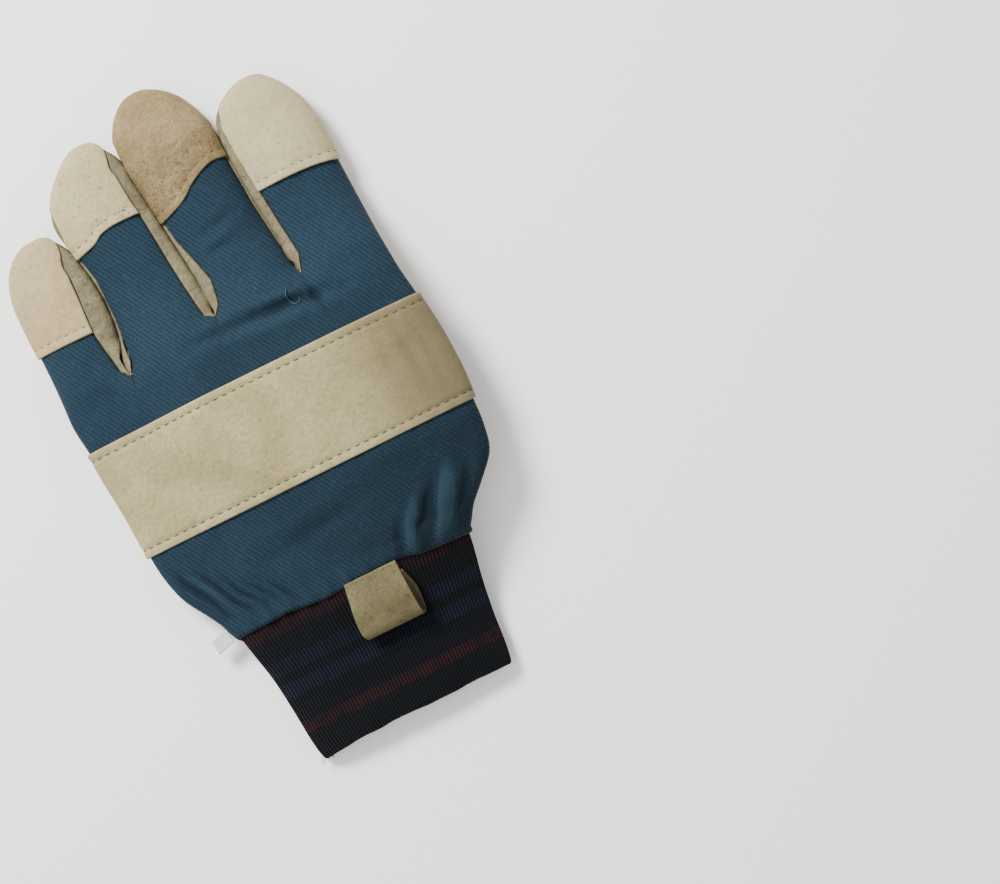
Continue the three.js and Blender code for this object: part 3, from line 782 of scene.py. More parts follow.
def pigskin(name, base, pale, dark, pores, pore_low, crease, mottle, margin=False, worn=None, dim=None):
    """Grain leather: clouds of two colours, fine creases, dark pores in clusters, and a paler cut margin.

    worn is the pair of y between which pores and stains fade out towards the tip. The pair of x for painted
    shade is where painted shade darkens the leather towards the index side.
    """
    finish = Finish(name, Specular_IOR_Level=0.3)
    x, y, _ = finish.axes()
    clouds = finish.noise(17, 3, 0.55)
    specks = finish.noise(2.1, 4, 0.65)
    colour = finish.mix(finish.step(clouds, 0.34, 0.66), base, pale)
    patch = (1 - finish.step(y, *worn)) if worn else 1.0
    colour = finish.mix(finish.step(specks, 0.48, 0.76) * mottle * patch, colour, dark)
    if worn:
        stain = finish.step(finish.noise(9, 3, 0.6), 0.3, 0.6)
        stained = tuple(lerp(0.7 * b, d, 0.25) for b, d in zip(base, dark))
        colour = finish.mix(patch * stain * 0.55, colour, stained)
    grain = finish.cells(1.15, "DISTANCE_TO_EDGE", finish.place + finish.noise(1.7, 2) * 1.3)
    lines = finish.step(grain, 0.0, 0.16)
    tight = finish.noise(1, 3, 0.6, finish.stretched(28, 1.3, 4.5), 0.6)
    ridges = finish.step(finish.math("ABSOLUTE", tight - 0.5), 0.0, 0.06)
    colour = finish.mix((1 - ridges) * 0.32 * crease, colour, dark)
    scratch = finish.noise(1, 2, 0.5, finish.stretched(-38, 0.8, 16), 0.2)
    scratch = 1 - finish.step(finish.math("ABSOLUTE", scratch - 0.5), 0.0, 0.018)
    colour = finish.mix(scratch * 0.35 * mottle, colour, tinted(dark, 0.7))
    cluster = finish.step(finish.noise(8, 2, 0.6), pore_low, pore_low + 0.12)
    dots = 1 - finish.step(finish.cells(1.5, place=finish.place + finish.noise(0.8, 2) * 0.9), 0.1, 0.34)
    hole = dots * cluster * pores * patch
    colour = finish.mix(hole, colour, tinted(dark, 0.4))
    # Painted shade: the leather darkens between the two x towards the index side.
    if dim:
        colour = finish.mix(finish.step(x, *dim) * 0.85, colour, tinted(dark, 0.55))
    if margin:
        _, edge, _ = finish.axes(finish.node("UVMap", uv_map="surface"))
        rim = 1 - finish.step(edge, STITCH["inset"] - 0.6, STITCH["inset"] + 0.3)
        colour = finish.mix(rim * 0.10, colour, tinted(pale, 1.08))
        cut = 1 - finish.step(edge, 0.5, 1.1)
        colour = finish.mix(cut * 0.14, colour, tinted(pale, 1.25))
    height = lines * 0.25 + ridges * 0.5 * crease - hole * 1.2 + specks * 0.7
    return finish.done(colour, 0.58 + specks * 0.25, height, 0.22, 0.5)


def suede(name, base, pale, dark):
    """Suede split: matt nap in clouds brushed one way, short fibres, and worn darker patches."""
    finish = Finish(name, Sheen_Weight=0.12, Sheen_Roughness=0.5, Specular_IOR_Level=0.2)
    clouds = finish.noise(14, 3, 0.6)
    brushed = finish.noise(1, 4, 0.65, finish.stretched(70, 2.2, 7.0), 0.4)
    fibres = finish.noise(0.55, 3, 0.7)
    colour = finish.mix(finish.step(clouds, 0.35, 0.68), base, pale)
    colour = finish.mix(finish.step(brushed, 0.45, 0.75) * 0.28, colour, dark)
    colour = finish.mix(finish.step(fibres, 0.4, 0.75) * 0.35, colour, dark)
    return finish.done(colour, 0.9, brushed * 0.5 + fibres * 0.8, 0.3, 0.7)


TWILL = {"heading": -59.5, "pitch": 1.6, "float": 0.95}


def twill(name):
    """Cotton twill: raised diagonal ribs of short floats, each rib's floats half a step on from the last.

    The piece's map holds the height of the back's rolls: painted shade darkens the creases and a painted
    highlight lightens the crests. Painted shade also darkens the cloth a little below the crotches, more
    below the band, most there towards the index side.
    """
    finish = Finish(name, Specular_IOR_Level=0.15, Sheen_Weight=0.05, Sheen_Roughness=0.4)
    sway = finish.noise(9, 2) * 0.5
    along, across, _ = finish.axes(finish.turned(TWILL["heading"]))
    rib = across / TWILL["pitch"] + sway
    line = finish.math("FLOOR", rib)
    rise = finish.math("SINE", (rib - line) * math.pi)
    short = along / TWILL["float"] + line * 0.5 + finish.noise(2.5) * 0.4
    stitch = finish.math("ABSOLUTE", finish.math("SINE", short * math.pi))
    weave = finish.step(rise, 0.15, 0.95) * (0.72 + stitch * 0.28)
    slub = finish.noise(1, 3, 0.6, finish.stretched(TWILL["heading"], 0.9, 6.0))
    clouds = finish.noise(24, 3, 0.55)
    colour = finish.mix(weave, (0.0068, 0.0165, 0.0265), (0.0116, 0.0288, 0.0450))
    colour = finish.mix(finish.step(slub, 0.5, 0.8) * 0.5, colour, (0.0205, 0.0470, 0.0670))
    colour = finish.mix(finish.step(clouds, 0.42, 0.75) * 0.4, colour, (0.0078, 0.0190, 0.0320))
    # Painted shade: a little darker below the crotches, more below the band, most there towards the index
    # side.
    x, y, _ = finish.axes()
    low = 1 - finish.step(y, 92, 108)
    right = finish.step(x, -25, 62)
    near = (1 - finish.step(y, 146, 172)) * 0.08
    dark = finish.math("MAXIMUM", low * (0.08 + right * 0.44), near)
    colour = finish.mix(dark, colour, (0.0010, 0.0045, 0.0075))
    worn = finish.noise(0.9, 4, 0.7)
    colour = finish.mix(finish.step(worn, 0.5, 0.75) * 0.45, colour, (0.0225, 0.0500, 0.0700))
    colour = finish.mix((1 - finish.step(worn, 0.25, 0.5)) * 0.4, colour, (0.0040, 0.0105, 0.0175))
    lint = finish.step(finish.cells(5.5), 0.0, 0.05)
    colour = finish.mix((1 - lint) * 0.6, colour, (0.055, 0.10, 0.13))
    # Painted shade in the creases of the back's rolls and a painted highlight on their crests, read from
    # the map.
    fold, _, _ = finish.axes(finish.node("UVMap", uv_map="surface"))
    colour = finish.mix(finish.step(0 - fold, 0.2, 1.9) * 0.6, colour, (0.0016, 0.0055, 0.0092))
    colour = finish.mix(finish.step(fold, 0.2, 1.5) * 0.4, colour, (0.0240, 0.0530, 0.0720))
    fuzz = finish.noise(0.6, 3, 0.7)
    return finish.done(colour, 0.85 + fuzz * 0.12, weave + stitch * 0.25 + fuzz * 0.3, 0.2, 0.55)


# Coloured courses of the knit: lowest y, highest y, colour
STRIPES = (
    (51.2, 57.5, (0.028, 0.0052, 0.0068)),
    (36.0, 42.2, (0.0080, 0.0108, 0.0275)),
    (26.4, 32.6, (0.0080, 0.0108, 0.0275)),
    (11.4, 16.2, (0.038, 0.0056, 0.0070)),
)


def rib_knit(name):
    """Rib knit: black yarn, coloured on the raised ribs within each stripe, with loops along each rib."""
    finish = Finish(name, Specular_IOR_Level=0.12, Sheen_Weight=0.04, Sheen_Roughness=0.4)
    count, y, _ = finish.axes(finish.node("UVMap", uv_map="surface"))
    raised = finish.step(finish.math("COSINE", count * (2 * math.pi)), -0.35, 0.55)
    loops = finish.math("ABSOLUTE", finish.math("SINE", y * (math.pi / 0.85) + count * math.pi))
    ragged = y + (finish.noise(3.0, 2) - 0.5) * 2.2 + raised * 0.5
    colour = finish.mix(finish.noise(1.6, 3), (0.0014, 0.0019, 0.0026), (0.0040, 0.0052, 0.0068))
    for low, high, shade in STRIPES:
        started = finish.step(ragged, low - 0.3, low + 0.5)
        inside = started * (1 - finish.step(ragged, high - 0.5, high + 0.3))
        patchy = 0.35 + 0.65 * finish.step(finish.noise(6.0, 2), 0.3, 0.55)
        colour = finish.mix(inside * raised * patchy, colour, shade)
    colour = finish.mix(loops * 0.35 * raised, colour, (0.0, 0.0, 0.002))
    fuzz = finish.noise(0.5, 3, 0.7)
    height = raised * 0.8 - loops * 0.45 * raised + fuzz * 0.35
    return finish.done(colour, 0.85 + fuzz * 0.1, height, 0.3, 0.8)


def thread(name, colour, dark):
    """Twisted thread: two colours mixed by a fine noise, which is its bump too."""
    finish = Finish(name, Specular_IOR_Level=0.3)
    twist = finish.noise(0.4, 2)
    return finish.done(finish.mix(twist, colour, dark), 0.7, twist, 0.08, 0.5)


def woven_tag(name):
    """Plain white tape with a fine square weave, in two greys mixed by noise."""
    finish = Finish(name)
    x, y, _ = finish.axes()
    weave = finish.math("SINE", x * 14.0) * finish.math("SINE", y * 14.0)
    shade = finish.mix(finish.noise(3, 3), (0.56, 0.56, 0.54), (0.72, 0.72, 0.70))
    return finish.done(shade, 0.75, weave, 0.08, 0.5)


# Pigskin finishes. Colours first: base, pale and dark. Then how strong the pores are, the level of the
# clouds where they start, the strength of creases and of mottling, and what else pigskin() takes.
PIGSKINS = {
    # The band gets painted shade towards its index end.
    "band": (
        (0.310, 0.257, 0.119), (0.374, 0.319, 0.160), (0.190, 0.148, 0.068),
        0.3, 0.56, 1.0, 0.6, {"margin": True, "dim": (28, 80)},
    ),
    "little_tip": (
        (0.375, 0.282, 0.142), (0.418, 0.324, 0.172), (0.225, 0.158, 0.072),
        0.5, 0.54, 0.5, 0.6, {"margin": True},
    ),
    "ring_tip": (
        (0.395, 0.324, 0.168), (0.440, 0.366, 0.198), (0.24, 0.182, 0.083),
        0.8, 0.52, 0.55, 0.7, {"margin": True},
    ),
    "middle_tip": (
        (0.208, 0.147, 0.061), (0.278, 0.207, 0.100), (0.088, 0.054, 0.019),
        0.7, 0.36, 1.3, 1.0, {"margin": True, "worn": (234, 252)},
    ),
    "index_tip": (
        (0.397, 0.330, 0.178), (0.442, 0.376, 0.210), (0.25, 0.196, 0.100),
        0.45, 0.57, 0.55, 0.6, {"margin": True},
    ),
    "strip": (
        (0.142, 0.120, 0.064), (0.205, 0.176, 0.098), (0.066, 0.052, 0.025),
        0.2, 0.6, 1.2, 0.8, {},
    ),
    "palm": ((0.34, 0.275, 0.140), (0.39, 0.325, 0.18), (0.20, 0.15, 0.065), 0.4, 0.52, 0.9, 0.5, {}),
    "hem": ((0.23, 0.185, 0.095), (0.28, 0.235, 0.13), (0.13, 0.10, 0.045), 0.3, 0.55, 0.7, 0.4, {}),
    # The loop gets painted shade along its right edge, where its inside and its lower flap lie in shade.
    "loop": (
        (0.110, 0.092, 0.038), (0.145, 0.122, 0.052), (0.058, 0.045, 0.017),
        0.3, 0.55, 1.2, 0.9, {"dim": (30.0, 31.6)},
    ),
}
MATERIALS = {
    "twill": twill("blue_twill"),
    "suede": suede("olive_suede", (0.150, 0.118, 0.048), (0.190, 0.152, 0.066), (0.082, 0.061, 0.024)),
    "knit": rib_knit("striped_knit"),
    "thread": thread("brown_thread", (0.085, 0.055, 0.024), (0.045, 0.028, 0.012)),
    "holes": thread("sunk_thread", (0.10, 0.075, 0.035), (0.05, 0.035, 0.018)),
    "blue": thread("blue_thread", (0.034, 0.075, 0.100), (0.020, 0.048, 0.068)),
    "pale": thread("pale_thread", (0.34, 0.30, 0.22), (0.20, 0.17, 0.11)),
    "tag": woven_tag("white_tag"),
}
for leather, (*finish_values, extras) in PIGSKINS.items():
    MATERIALS[leather] = pigskin(leather + "_pigskin", *finish_values, **extras)


def seam_pucker(distance, along, depth=0.45, reach=2.6):
    """Ripple beside a sewn edge: it fades away from the seam and beats once a stitch."""
    return depth * np.exp(-distance / reach) * np.cos(2 * np.pi * along / (2 * STITCH["pitch"]))


def stitch_groove(distance, depth=0.22):
    """Dip of a stitched line at its inset from an edge, a bell curve about 1 mm wide."""
    return -depth * np.exp(-(((distance - STITCH["inset"]) / 0.9) ** 2))


def back_cloth():
    """The twill back: four strips sewn side by side below the crotches, then one up each finger.

    Each strip's points are the glove's own surface with the cloth's rolls and gathers. The edges turn
    down by a quarter round, and the lower edge stands proud of the cuff as a folded hem.
    """
    grids = []
    share = np.linspace(0, 1, GRIDS["hand"][1])
    for name in NAMES:
        x_low = lerp(edge_x(name, 0, CLOTH_LOW), edge_x(name, 1, CLOTH_LOW), share)
        start = np.interp(x_low, CLOTH_EDGE["x"], CLOTH_EDGE["y"])
        top = max(y for _, y in CAP_EDGES[name]) + CAP_OVERLAP
        hand = lerp(start, PARTING_ROW, np.linspace(0, 1, GRIDS["hand"][0])[:, None] ** 1.1)
        finger = lerp(PARTING_ROW, top, np.linspace(0, 1, GRIDS["finger"][0])[:, None]) + 0 * share
        for s, first_drop in ((hand, 1.1), (finger, None)):
            angle = lerp(back_start(name, s), seam_angle(name, 1, s), share)
            points = glove(name, s, angle)
            rows = margins(points)
            drop = rolled(rows[0], first_drop) if first_drop else 0
            y = station_y(name, s)
            for side, distance in ((0, rows[2]), (1, rows[3])):
                if (name, side) in BACK_SEAMS:
                    drop = drop + np.where(y > crotch_y(name, side), rolled(distance, 0.9), 0)
            hem = 0.9 * (1 - smoothstep(s, 58, 66))
            # The rolls' height goes into the map, where the twill turns it into painted shade in creases
            # and a painted highlight on crests.
            painted_fold_shading = rolls(points[..., 0], points[..., 1]) * lerp(2.4, 0.7, smoothstep(y, 86, 98))
            values = np.stack([painted_fold_shading, 0 * painted_fold_shading], -1)
            grids.append((glove(name, s, angle, hem - drop, cloth_relief), values))
    new_piece("twill_back", grids, "twill", ("back_cloth",), facing=UP)


back_cloth()


def cap_start(name, x):
    """The cap's lower edge in y at x, bent a little at its drawn corners."""
    edge = np.array(CAP_EDGES[name])
    return smooth(edge[:, 0], edge[:, 1], x)


def cap_grid(name):
    """Stations and angles of a cap: rows run from its lower edge to the tip, columns from seam to seam."""
    rows, cols = GRIDS["cap"]
    share = crowded(cols)[None, :]
    middle = (edge_x(name, 0, CAP_LEVEL) + edge_x(name, 1, CAP_LEVEL)) / 2
    first = np.full((1, cols), float(cap_start(name, middle)))
    angle = lerp(back_start(name, first), seam_angle(name, 1, first), share)
    start = cap_start(name, glove(name, first, angle)[..., 0])
    s = lerp(start, tip_station(name), crowded(rows, 0.8)[:, None])
    return s, lerp(back_start(name, s), seam_angle(name, 1, s), share)


def cap_relief(name):
    """Slow and fine noise of a cap's leather, with a seed of its own."""
    seed = NAMES.index(name) + 11
    return lambda x, y: 0.5 * noise(x, y, 15, seed) + 0.22 * noise(x, y, 5.5, seed + 4)


def finger_cap(name):
    """A leather cap: the glove's surface set 1.3 mm out, its edge turned in, with a stitched dip."""
    s, angle = cap_grid(name)
    flat = glove(name, s, angle)
    low, _, left, right = margins(flat)
    side = np.minimum(left, right)
    tip_fade = smoothstep(tip_station(name) - s, 0, 6)
    offset = LAYER * lerp(0.35, 1, tip_fade) - rolled(low, 0.8) - rolled(side, 0.9) * tip_fade
    offset = offset + stitch_groove(low) * smoothstep(side, 0, 3) + seam_pucker(low, left, 0.22)
    offset = offset + seam_pucker(side, low, 0.08) * tip_fade
    points = glove(name, s, angle, offset, cap_relief(name))
    grid = (points, np.stack([left, low], -1))
    tip = name + "_tip"
    new_piece(name + "_cap", [grid], tip, (tip,), facing=UP)


for name in NAMES:
    finger_cap(name)


def cap_stitches(name):
    """The stitched line of a cap: where each column is the inset away from the lower edge."""
    s, angle = cap_grid(name)
    low = margins(glove(name, s, angle))[0]
    pick = lambda grid: np.array([np.interp(STITCH["inset"], *pair) for pair in zip(low.T, grid.T)])
    line = glove(name, pick(s)[None], pick(angle)[None], LAYER - 0.3, cap_relief(name))[0]
    keep = slice(3, -2) if name != "little" else slice(14, -2)
    return stitches(line[keep])


def side_strips(left, right):
    """One strip between two fingers: the outer side of each, from its back seam round to its palm seam."""
    rows, cols = GRIDS["strip"]
    grids = []
    for name, side in ((left, 1), (right, 0)):
        crotch = crotch_y(name, side)
        s = np.linspace(crotch + 0.2, tip_station(name) - 2.5, rows)[:, None]
        back_edge = seam_angle(name, side, s)
        under = strip_low(name, side, s)
        share = crowded(cols, 0.6)[None, :]
        angle = lerp(back_edge, np.pi + under, share) if side else lerp(-under, back_edge, share)
        flat = glove(name, s, angle)
        _, _, a, b = margins(flat)
        y = station_y(name, s)
        creases = 0.55 * noise(angle * 5 + y * 0.25, y, 3.4, 21 + side) + 0.4 * noise(angle * 4, y, 10, 23)
        upper = smoothstep(np.sin(angle), 0.1, 0.5)
        edge = np.minimum(a, b)
        grown = smoothstep(y, crotch + 2, crotch + 11) * smoothstep(tip_station(name) - s, 3, 26)
        puff = 1.3 * np.sin(np.pi * (share if side else 1 - share)) * upper * grown
        near = 1 - smoothstep(y, crotch + 7, crotch + 18)
        reach = 0.55 + (1.6 if left == "little" else 0.9) * near
        touch = reach * (1 - smoothstep(np.abs(np.sin(angle)), 0.15, 0.6))
        touch = touch * smoothstep(y, crotch - 1, crotch + 0.6) * smoothstep(tip_station(name) - s, 6, 20)
        offset = lerp(-0.6, 0.1, smoothstep(y, crotch, crotch + 4)) - rolled(edge, 0.9) + puff + touch
        offset = offset + creases * smoothstep(edge, 0, 2) * upper
        grids.append(glove(name, s, angle, offset))
    pair = f"{left}_{right}"
    node = "fourchette_" + pair
    new_piece(pair + "_strip", grids, "strip", (node,), wall=STRIP_WALL, facing=UP)


for left, right in zip(NAMES, NAMES[1:]):
    side_strips(left, right)


def front_grid(name, start, finish, rows):
    """The palm side of one finger's strip between two stations, from its right edge round to its left."""
    s = np.linspace(start, finish, rows)[:, None]
    share = crowded(FRONT_COLUMNS, 0.6)[None, :]
    right = np.pi + UNDER + (strip_low(name, 1, s) if (name, 1) in BACK_SEAMS else 0 * s)
    left = 2 * np.pi - UNDER - (strip_low(name, 0, s) if (name, 0) in BACK_SEAMS else 0 * s)
    if name == "little":
        left = 2 * np.pi + back_start(name, s)
    angle = lerp(right, left, share)
    flat = glove(name, s, angle)
    first, last, a, b = margins(flat)
    y = station_y(name, s)
    drop = 0
    for side, distance in ((1, a), (0, b)):
        crotch = crotch_y(name, side)
        drop = drop + rolled(distance, 0.8) * smoothstep(y, crotch, crotch + 2)
    if name in ("ring", "middle"):
        drop = drop + 1.2 * (rolled(last, 1.2) if start < 100 else rolled(first, 1.2))
    plan_x, plan_y = flat[..., 0], flat[..., 1]
    fine = 0.3 * noise(plan_x, plan_y * 3.2, 9, 33) * smoothstep(y, CROSS_SEAM, CROSS_SEAM + 10)
    wrinkle = 0.35 * noise(plan_x, plan_y, 7, 31) + fine
    wrinkle = wrinkle * smoothstep(np.minimum(a, b), 0, 4) * smoothstep(np.minimum(first, last), 0, 3)
    return glove(name, s, angle, 0.1 - drop + wrinkle * smoothstep(y, 160, 172))


def palm_pieces():
    """Palm with the little and index fronts, and the ring and middle fronts set in above its cross seam."""
    palm = [front_grid(name, CLOTH_LOW - 0.5, CROSS_SEAM, 84) for name in NAMES]
    palm += [front_grid(name, CROSS_SEAM, tip_station(name), 74) for name in ("little", "index")]
    new_piece("palm_with_fronts", palm, "palm", ("palm_leather",), facing=DOWN)
    fronts = [front_grid(name, CROSS_SEAM + 0.2, tip_station(name), 90) for name in ("ring", "middle")]
    new_piece("middle_fronts", fronts, "palm", ("middle_finger_fronts",), facing=DOWN)


palm_pieces()


def hand_under(x, y, offset=0.0):
    """Point of the palm's underside: the middle height less half the thickness times the oval, set out."""
    centre, half, mid, high = hand_size(y)
    z = mid - high * oval((x - centre) / half, HAND_POWER)
    return np.stack([x, y, above_floor(z) - offset + lift(x, y)], -1)


def knuckle_band():
    """The band across the knuckles: the hand's oval carried 1.3 mm out, stitched along both long edges."""
    rows, cols = GRIDS["band"]
    share = crowded(cols, 0.9)[None, :]
    y = lerp(*BAND, crowded(rows))[:, None]
    centre, half, mid, high = hand_size(y)
    u, side, v = around(lerp(-BAND_WRAP, np.pi, share) + 0 * y, HAND_POWER)
    out = outward(u, v, half, high, HAND_POWER - 1)
    bow = 0.6 * np.sin(np.pi * share) * smoothstep(y, 101, 147)
    flat = np.stack([centre + half * u, y + 0 * u, mid + side * high * v], -1)
    low, top, left, right = margins(flat)
    edge, end = np.minimum(low, top), np.minimum(left, right)
    offset = LAYER - rolled(edge, 0.8) - rolled(end, 0.8)
    offset = offset + stitch_groove(edge, 0.45) * smoothstep(end, 0, 3) + seam_pucker(edge, left, 0.16)
    offset = offset + 0.16 * noise(flat[..., 0], y, 7, 41) + 0.25 * noise(flat[..., 0], y, 22, 43)
    x, y = flat[..., 0] + offset * out[0], flat[..., 1]
    relief = np.where(side > 0, 0.7 * v * cloth_relief(x, y), 0)
    z = flat[..., 2] + side * offset * out[1] + lift(x, y) + relief
    points = np.stack([x, y + bow, z], -1)
    grid = (points, np.stack([left, edge], -1))
    new_piece("leather_band", [grid], "band", ("knuckle_band",), facing=UP)
    runs = []
    for distance in (low, top):
        row = np.abs(distance - STITCH["inset"]).argmin(0)
        line = points[row, np.arange(cols)] + (0, 0, 0.12)
        runs.append(stitches(line[16:-8]))
    return runs


sewing("band_stitching", knuckle_band(), "thread")
sewing("cap_stitching", [cap_stitches(name) for name in NAMES], "thread")


def between(low_edge, high_edge, rows, cols):
    """Plan grid between two drawn edges, each read by share of its length, with straight rows between."""
    share = crowded(cols, 0.7)
    return lerp(read_line(low_edge, share), read_line(high_edge, share), crowded(rows, 0.7)[:, None, None])


def palm_layer(piece, node, material, low_edge, high_edge, grid_size, puff=0.0):
    """A leather layer under the palm: a plan grid laid on the palm's underside, edges turned in."""
    plan = between(low_edge, high_edge, *grid_size)
    x, y = plan[..., 0], plan[..., 1]
    flat = hand_under(x, y)
    a, b, c, d = margins(flat)
    edge = np.minimum(np.minimum(a, b), np.minimum(c, d))
    offset = LAYER + puff * smoothstep(edge, 0, 5) - rolled(edge, 0.8) + stitch_groove(edge, 0.4)
    offset = offset + seam_pucker(edge, c + a, 0.2) + 0.35 * noise(x, y, 9, 51) * smoothstep(edge, 0, 4)
    offset = offset + rolls(x, y, PALM_ROLLS) * smoothstep(edge, 0, 5)
    grid = (hand_under(x, y, offset), np.stack([c, edge], -1))
    new_piece(piece, [grid], material, (node,), facing=DOWN)


# Lower and upper edges of the suede patch and of the leather hem: x, y
PATCH_LOW = ((-44.5, 67.5), (-22, 63.5), (4, 67.5), (30, 68.5), (58, 68.5), (66, 80))
PATCH_HIGH = ((-53.6, 160.5), (-22, 163.5), (-19, 166), (14, 165), (36, 160), (66, 140))
palm_layer("suede_patch", "palm_patch", "suede", PATCH_LOW, PATCH_HIGH, GRIDS["patch"])
HEM_LOW = ((-38.5, 57), (-20, 57), (4, 57), (30, 57), (52, 57))
HEM_HIGH = ((-41, 63.6), (-22, 62.9), (4, 66.9), (30, 67.9), (57, 67.9))
palm_layer("leather_hem", "palm_hem", "hem", HEM_LOW, HEM_HIGH, GRIDS["hem"], 0.8)


def thumb(t, angle, offset=0.0):
    """Point of the folded thumb: across from its crease side to its ridge side by u, up by the oval's v."""
    at = section(THUMB, np.arange(len(THUMB["bottom"])), t)
    u, side, v = around(angle, THUMB_POWER)
    half = np.hypot(at["ridge_x"] - at["crease_x"], at["ridge_y"] - at["crease_y"]) / 2
    high = (at["top"] - at["bottom"]) / 2
    share = (1 + u * (1 + offset / np.maximum(half, 1) * np.abs(u) ** 1.6)) / 2
    x = lerp(at["crease_x"], at["ridge_x"], share)
    y = lerp(at["crease_y"], at["ridge_y"], share)
    z = (at["bottom"] + at["top"]) / 2 + side * (high + offset) * v
    z = np.where(side < 0, above_floor(z), np.minimum(z, lift(x, y) - PATCH_LIFT - 0.2))
    return np.stack([x, y, np.maximum(z, 0)], -1)


def fold(y, angle, offset=0.0):
    """Point of the fold at the index side, where the thumb's leather turns up to meet the back's seam."""
    at = section(FOLD, FOLD["y"], y)
    left, right, bottom, top = at["left"], at["right"], at["bottom"], at["top"] + lift(at["right"], y)
    u, side, v = around(angle, FOLD_POWER)
    x = (left + right) / 2 + ((right - left) / 2 + offset) * u
    return np.stack([x, y + 0 * x, (bottom + top) / 2 + side * ((top - bottom) / 2 + offset) * v], -1)


def thumb_pieces():
    """Lower and upper halves of the thumb, and the fold that carries the lower half up to the back."""
    rows, cols = GRIDS["thumb"]
    t = (len(THUMB["bottom"]) - 1) * crowded(rows, 0.6)[:, None]
    grids = {}
    for half, low, high in (("outer", np.pi, 2 * np.pi), ("inner", 0.0, np.pi)):
        angle = lerp(low, high, crowded(cols, 0.5)[None, :])
        flat = thumb(t, angle)
        edge = np.minimum(*margins(flat)[2:])
        wrinkle = 0.3 * noise(flat[..., 0], flat[..., 1], 7, 61) * smoothstep(edge, 0, 4)
        grids[half] = thumb(t, angle, wrinkle - rolled(edge, 0.7))
    rows, cols = GRIDS["fold"]
    y = np.linspace(FOLD["y"][0], FOLD["y"][-1], rows)[:, None]
    turn = np.linspace(*FOLD_TURN, cols)[None, :]
    grids["fold"] = fold(y, turn, 0.15 * noise(turn * 12, y, 6, 63))
    for piece, grid, node, facing in (
        ("thumb_sole", "outer", "thumb_outer", DOWN),
        ("thumb_fold", "fold", "thumb_outer", (1, 0, 0)),
        ("thumb_upper", "inner", "thumb_inner", UP),
    ):
        new_piece(piece, [grids[grid]], "suede", (node,), facing=facing)


thumb_pieces()


def palm_sewing():
    """The rows on the suede patch and down the thumb, laid on the surfaces they are sewn to."""
    share = np.linspace(0, 1, SEAM_POINTS)
    runs = []
    for row, shift in PALM_ROWS:
        for moved in ((0, 0), shift):
            x, y = (read_line(row, share) + moved).T
            offset = LAYER - 0.02 + 0.35 * noise(x, y, 9, 51) + rolls(x, y, PALM_ROLLS)
            runs.append(stitches(hand_under(x, y, offset), **PALM_STITCH))
    sewing("patch_stitching", runs, "holes")
    runs = []
    for row in THUMB_ROWS:
        t, across = read_line(row, share).T
        runs.append(stitches(thumb(t, 2 * np.pi - np.arccos(-across), 0.1), **PALM_STITCH))
    sewing("thumb_stitching", runs, "holes")


palm_sewing()


def knit_cuff():
    """The rib-knit cuff: a closed wall whose outer side carries ribs, round its hem and up the inside.

    Ribs are cosines, evenly spaced by length round the cuff's oval at its middle height.
    """
    fine = np.linspace(0, 2 * np.pi, 4001)
    _, half_x, _, high = oval_size(CUFF, np.array(CUFF_MIDDLE))
    u, side, v = around(fine, CUFF_POWER)
    reach = run_length(np.stack([half_x * u, high * side * v], -1))
    ribs = int(round(reach[-1] / RIB_PITCH))
    count = np.arange(ribs * PER_RIB) / PER_RIB
    angle = np.interp(count / ribs * reach[-1], reach, fine)[None, :]
    turn = np.linspace(0, np.pi, 9)[1:-1]
    half = KNIT_WALL / 2
    outside = np.linspace(CUFF_END, CUFF_HEM, 52)
    inside = np.linspace(CUFF_HEM, CUFF_END, 14)
    path_y = np.r_[outside, CUFF_HEM - half * np.sin(turn), inside]
    path_in = np.r_[0 * outside, half - half * np.cos(turn), 0 * inside + KNIT_WALL]
    y, inset = path_y[:, None], path_in[:, None]
    centre, half_x, mid, high = oval_size(CUFF, y)
    u, side, v = around(angle, CUFF_POWER)
    outer = 1 - smoothstep(inset, 0.2, KNIT_WALL)
    wave = 0.5 * noise(count[None, :] * 1.4, y, 16, 71) * smoothstep(side * v, -0.2, 0.6)
    rib = 0.36 * (np.cos(2 * np.pi * count)[None, :] * 0.5 - 0.3) * (0.35 + 0.65 * outer)
    offset = rib - inset - 0.25
    out = outward(u, v, half_x, high, CUFF_POWER - 1)
    x = centre + half_x * u + offset * out[0]
    z = mid + side * high * v + side * offset * out[1] + wave
    z = above_floor(z) + lift(x, y + 0 * x)
    hem = 0.5 * noise(count[None, :] * 1.4, 0 * y, 9, 73) - 1.6 * smoothstep(-x, 8, 31)
    hem = hem * (1 - smoothstep(y, 0, 14))
    points = np.stack([x, y + hem, z], -1)
    values = np.stack(np.broadcast_arrays(count[None, :], y), -1)
    grid = tuple(np.concatenate([part, part[:1]]) for part in (points, values))
    new_piece("rib_cuff", [grid], "knit", ("knit_cuff",), wall=0, ring=True)


knit_cuff()


def cuff_height(x, y):
    """Height of the knit's upper side at x, y."""
    centre, half, mid, high = oval_size(CUFF, y)
    return mid + high * oval((x - centre) / half, CUFF_POWER) + lift(x, y)


